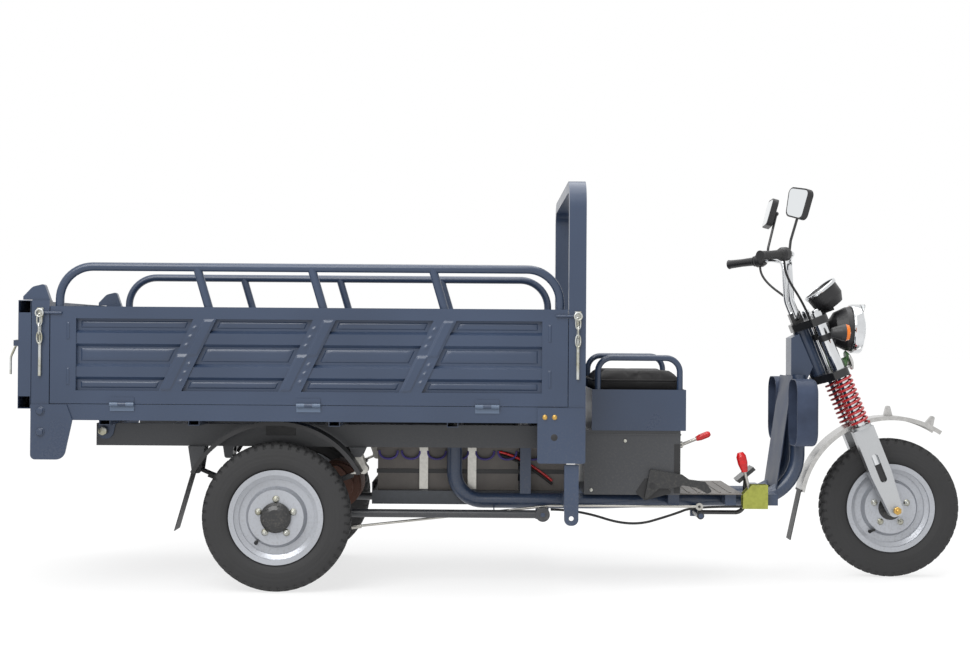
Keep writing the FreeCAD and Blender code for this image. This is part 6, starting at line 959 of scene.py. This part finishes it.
for side, sign in SIDES:
    # Black plate in each leg slot: painted shade for the slot's shadowed floor
    add(f"leg_slot_painted_shade_{side}", *slot_shade_plate(sign), black_shell, "fork_slider", "black_plastic")
    cap = placed(hexagon(*FORK_CAP), [fork(0.0, sign * FORK_TUBE_Y, FORK_TUBE_TOP)], FORK_UP)
    add(f"fork_cap_{side}", *cap, chrome, "steering", "chrome")
    axle_end = [FRONT_AXLE + [0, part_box("front_axle")[0 if sign < 0 else 1].y, 0]]
    nut_parts = (hexagon(*AXLE_NUT), stud(*AXLE_STUD))
    nut = together(*[placed(part, axle_end, [0, sign, 0]) for part in nut_parts])
    add(f"axle_nut_{side}", *nut, brass, "fork_slider", "zinc")


# Batteries: hanging strap handles and the band round them
BATTERY_COUNT, BATTERY_BACK, BATTERY_PITCH, BATTERY_WIDE = 4, -0.476, 0.180, 0.172
HANDLE_HALF, HANDLE_DROP, HANDLE_BOW, HANDLE_RADIUS = 0.034, 0.030, 0.004, 0.0042
HANDLE_Y, HANDLE_TOP, HANDLE_SHIFTS = 0.1795, 0.024, (-0.042, 0.042)
BAND_Y, BAND_LOW, BAND_HIGH = (0.1710, 0.1732), 0.398, 0.414
handle_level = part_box("batteries")[1].z - HANDLE_TOP


def strap_handle(x, sign):
    """Strap that hangs in a bow from the lid's edge: a round section carried along half a drawn-out ring."""
    turn = np.linspace(0, np.pi, 25)
    path = np.stack([x + HANDLE_HALF * np.cos(turn), sign * (HANDLE_Y + HANDLE_BOW * np.sin(turn)),
                     handle_level - HANDLE_DROP * np.sin(turn) ** 0.8], -1)
    return tube(path, HANDLE_RADIUS, 10)


for side, sign in SIDES:
    spots = BATTERY_BACK + BATTERY_PITCH * np.arange(BATTERY_COUNT) + BATTERY_WIDE / 2
    handles = [strap_handle(x + shift, sign) for x in spots for shift in HANDLE_SHIFTS]
    add(f"battery_handles_{side}", *together(*handles), strap_violet, "chassis", "battery_plastic")
    near, far = sorted(sign * y for y in BAND_Y)
    band_front = BATTERY_BACK + (BATTERY_COUNT - 1) * BATTERY_PITCH + BATTERY_WIDE
    band = block([BATTERY_BACK, near, BAND_LOW], [band_front, far, BAND_HIGH])
    add(f"battery_band_{side}", *band, black_shell, "chassis", "black_plastic", smooth=False)


# Free cables, each on the route that its solid follows
CABLE_DIAMETER = 0.009
GEAR_ROUTE = [(0.8787, -0.237, 0.288), (0.702, -0.237, 0.288), (0.625, -0.237, 0.2568),
              (0.4685, -0.237, 0.210), (0.271, -0.235, 0.2722), (0.172, -0.235, 0.2722)]
RED_LEAD_ROUTE = [(-0.0189, -0.1798, 0.480), (0.0671, -0.1798, 0.4644), (0.1789, -0.1798, 0.3734)]
BLACK_LEAD_ROUTE = [(-0.0189, -0.1798, 0.4674), (0.0671, -0.1798, 0.4518), (0.1789, -0.1798, 0.3608)]
BAR_ROUTE = [(1.0275, 0.2498, 1.1954), (1.0275, 0.2498, 1.1486), (1.1377, 0.072, 1.0418),
             (1.1606, 0.0672, 0.9851)]


def cable(name, route, finish, body, node):
    """Cable as one smooth line: a NURBS spline of order 3 over the route's points, with a round section."""
    data = bpy.data.curves.new(name, "CURVE")
    data.dimensions = "3D"
    data.bevel_depth = CABLE_DIAMETER / 2
    data.bevel_resolution = 4
    data.use_fill_caps = True
    line = data.splines.new("NURBS")
    line.points.add(len(route) - 1)
    for point, place in zip(line.points, route):
        point.co = (*place, 1.0)
    line.order_u = 3
    line.use_endpoint_u = True
    line.resolution_u = 24
    data.materials.append(finish.material)
    piece = bpy.data.objects.new(name, data)
    bpy.context.scene.collection.objects.link(piece)
    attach(piece, body)
    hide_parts(node)


cable("gear_cable", GEAR_ROUTE, soft_rubber, "chassis", "frame_cables")
cable("red_lead", RED_LEAD_ROUTE, cherry_cap, "chassis", "frame_cables")
cable("black_lead", BLACK_LEAD_ROUTE, soft_rubber, "chassis", "frame_cables")
for side, sign in SIDES:
    bar_route = [(x, sign * y, z) for x, y, z in BAR_ROUTE]
    cable(f"bar_cable_{side}", bar_route, soft_rubber, "steering", "bar_cables")


# Seat box trim, black discs of painted shade for the holes of the front plates, and the rings of the hasps
BOX_FACE, STRIP_THICK, BOX_SCREW = 0.2802, 0.0015, (0.0065, 0.004)
STRIP_X, STRIP_Z = (0.622, 0.642), (0.340, 0.520)
BOX_SCREWS = ((0.442, 0.2822, 0.531), (0.318, BOX_FACE, 0.35), (0.6, BOX_FACE, 0.35))
HOLE_PROFILE, HOLE_X, HOLE_Z = [(TIP, 0.0004), (0.011, 0.0004), (0.012, 0.0)], 0.169, 0.559
RING_RADIUS, RING_WIRE, RING_Y, RING_Z, RING_STEPS = 0.013, 0.003, 0.5655, 0.982, 40
DOME_WALL_SHARE = 0.3


def dome(radius, height):
    """Round head: a low cap on a short wall."""
    turn = np.linspace(0, np.pi / 2, 7)
    rise = height * (DOME_WALL_SHARE + (1 - DOME_WALL_SHARE) * np.sin(turn))
    cap = np.column_stack([radius * np.cos(turn) + TIP, rise])
    return lathe(np.concatenate([[(TIP, 0.0), (radius, 0.0)], cap]), 24)


def hasp_ring(x, sign):
    """Upright ring of round wire."""
    turn = np.linspace(0, 2 * np.pi, RING_STEPS, endpoint=False)
    path = np.stack([x + RING_RADIUS * np.cos(turn), np.full(RING_STEPS, sign * RING_Y),
                     RING_Z + RING_RADIUS * np.sin(turn)], -1)
    return tube(path, RING_WIRE, 10, closed=True)


for side, sign in SIDES:
    out = [0, sign, 0]
    near, far = sorted((sign * BOX_FACE, sign * (BOX_FACE + STRIP_THICK)))
    strip = block([STRIP_X[0], near, STRIP_Z[0]], [STRIP_X[1], far, STRIP_Z[1]])
    add(f"seat_box_strip_{side}", *strip, black_shell, "chassis", "black_plastic", smooth=False)
    screws = placed(dome(*BOX_SCREW), [(x, sign * y, z) for x, y, z in BOX_SCREWS], out)
    add(f"seat_box_screws_{side}", *screws, clear_zinc, "chassis", "zinc")
    # Flat black disc on each front plate: painted shade for the dark opening of its hole
    hole = placed(lathe(HOLE_PROFILE, 32), [(HOLE_X, sign * PLATE_FACE, HOLE_Z)], out)
    add(f"front_plate_hole_shade_{side}", *facing(*hole, out), black_shell, "bed", "black_plastic")
    rings = together(*[hasp_ring(x, sign) for x in LOCK_PLACES])
    add(f"hasp_rings_{side}", *rings, clear_zinc, "bed", "zinc")


# Studio: pale floor, soft light and the photograph's camera
FLOOR_GREY, FLOOR_GLOW = (0.27, 0.27, 0.27, 1.0), 0.74
FADE_START, FADE_END = 2.4, 4.2
FILL_LEVEL, BACKDROP_LEVEL = 0.48, 1.0
WHITE_LIGHT, NO_COLOUR = (1.0, 1.0, 1.0, 1.0), (0.0, 0.0, 0.0, 1.0)
# Name, place, aim, size and power
LAMPS = (("key", (-2.5, -5.0, 5.5), (0.1, 0.0, 0.6), 5.0, 400.0),
         ("top", (0.5, 0.5, 6.5), (0.0, 0.0, 0.5), 6.0, 300.0))
FOCAL_PIXELS, PICTURE_PIXELS, SENSOR_WIDTH = 1549.0, 970.0, 36.0
CAMERA_PLACE, CAMERA_TILT, CAMERA_ROLL = (-0.0754, -5.965, 0.912), math.radians(90.46), math.radians(0.4)


def studio():
    """Large floor, white surroundings for camera and reflections, a soft key and a broad fill."""
    points = np.array([[-40, -30, 0], [40, -30, 0], [40, 60, 0], [-40, 60, 0]], float)
    mesh = bpy.data.meshes.new("floor")
    mesh.from_pydata(points.tolist(), [], [[0, 1, 2, 3]])
    floor = bpy.data.objects.new("floor", mesh)
    bpy.context.scene.collection.objects.link(floor)
    pale = Finish("pale_floor", FLOOR_GREY, 0.85, specular=0.1)
    away = pale.node("ShaderNodeVectorMath", operation="LENGTH")
    pale.tree.links.new(pale.place, away.inputs[0])
    glow = pale.span(away.outputs["Value"], FADE_START, FADE_END, FLOOR_GLOW, 1.0)
    fade = pale.span(glow, FLOOR_GLOW, 1.0, 0.0, 1.0)
    pale.put("Base Color", pale.blend(fade, FLOOR_GREY, NO_COLOUR))
    pale.put("Emission Color", WHITE_LIGHT)
    pale.put("Emission Strength", glow)
    mesh.materials.append(pale.material)

    world = bpy.data.worlds.new("surroundings")
    bpy.context.scene.world = world
    world.use_nodes = True
    tree = world.node_tree
    back = tree.nodes["Background"]
    path = tree.nodes.new("ShaderNodeLightPath")
    seen = path.outputs["Is Camera Ray"]
    for other in ("Is Glossy Ray", "Is Transmission Ray"):
        most = tree.nodes.new("ShaderNodeMath")
        most.operation = "MAXIMUM"
        tree.links.new(seen, most.inputs[0])
        tree.links.new(path.outputs[other], most.inputs[1])
        seen = most.outputs[0]
    level = tree.nodes.new("ShaderNodeMapRange")
    level.inputs["To Min"].default_value = FILL_LEVEL
    level.inputs["To Max"].default_value = BACKDROP_LEVEL
    tree.links.new(seen, level.inputs["Value"])
    tree.links.new(level.outputs["Result"], back.inputs["Strength"])
    back.inputs["Color"].default_value = WHITE_LIGHT

    for name, place, aim, size, power in LAMPS:
        light = bpy.data.lights.new(name, "AREA")
        light.size = size
        light.energy = power
        lamp = bpy.data.objects.new(name, light)
        lamp.location = place
        lamp.rotation_euler = (Vector(aim) - Vector(place)).to_track_quat("-Z", "Y").to_euler()
        bpy.context.scene.collection.objects.link(lamp)


def photo_camera():
    """Camera level with the bed's sides and square to the machine, fitted to the picture."""
    lens = bpy.data.cameras.new("photo_camera")
    lens.sensor_width = SENSOR_WIDTH
    lens.lens = FOCAL_PIXELS / PICTURE_PIXELS * SENSOR_WIDTH
    lens.clip_end = 200.0
    camera = bpy.data.objects.new("photo_camera", lens)
    tilt, roll = Matrix.Rotation(CAMERA_TILT, 4, "X"), Matrix.Rotation(CAMERA_ROLL, 4, "Z")
    camera.matrix_world = Matrix.Translation(CAMERA_PLACE) @ tilt @ roll
    bpy.context.scene.collection.objects.link(camera)
    bpy.context.scene.camera = camera


studio()
photo_camera()
bpy.context.scene.view_settings.view_transform = "Standard"
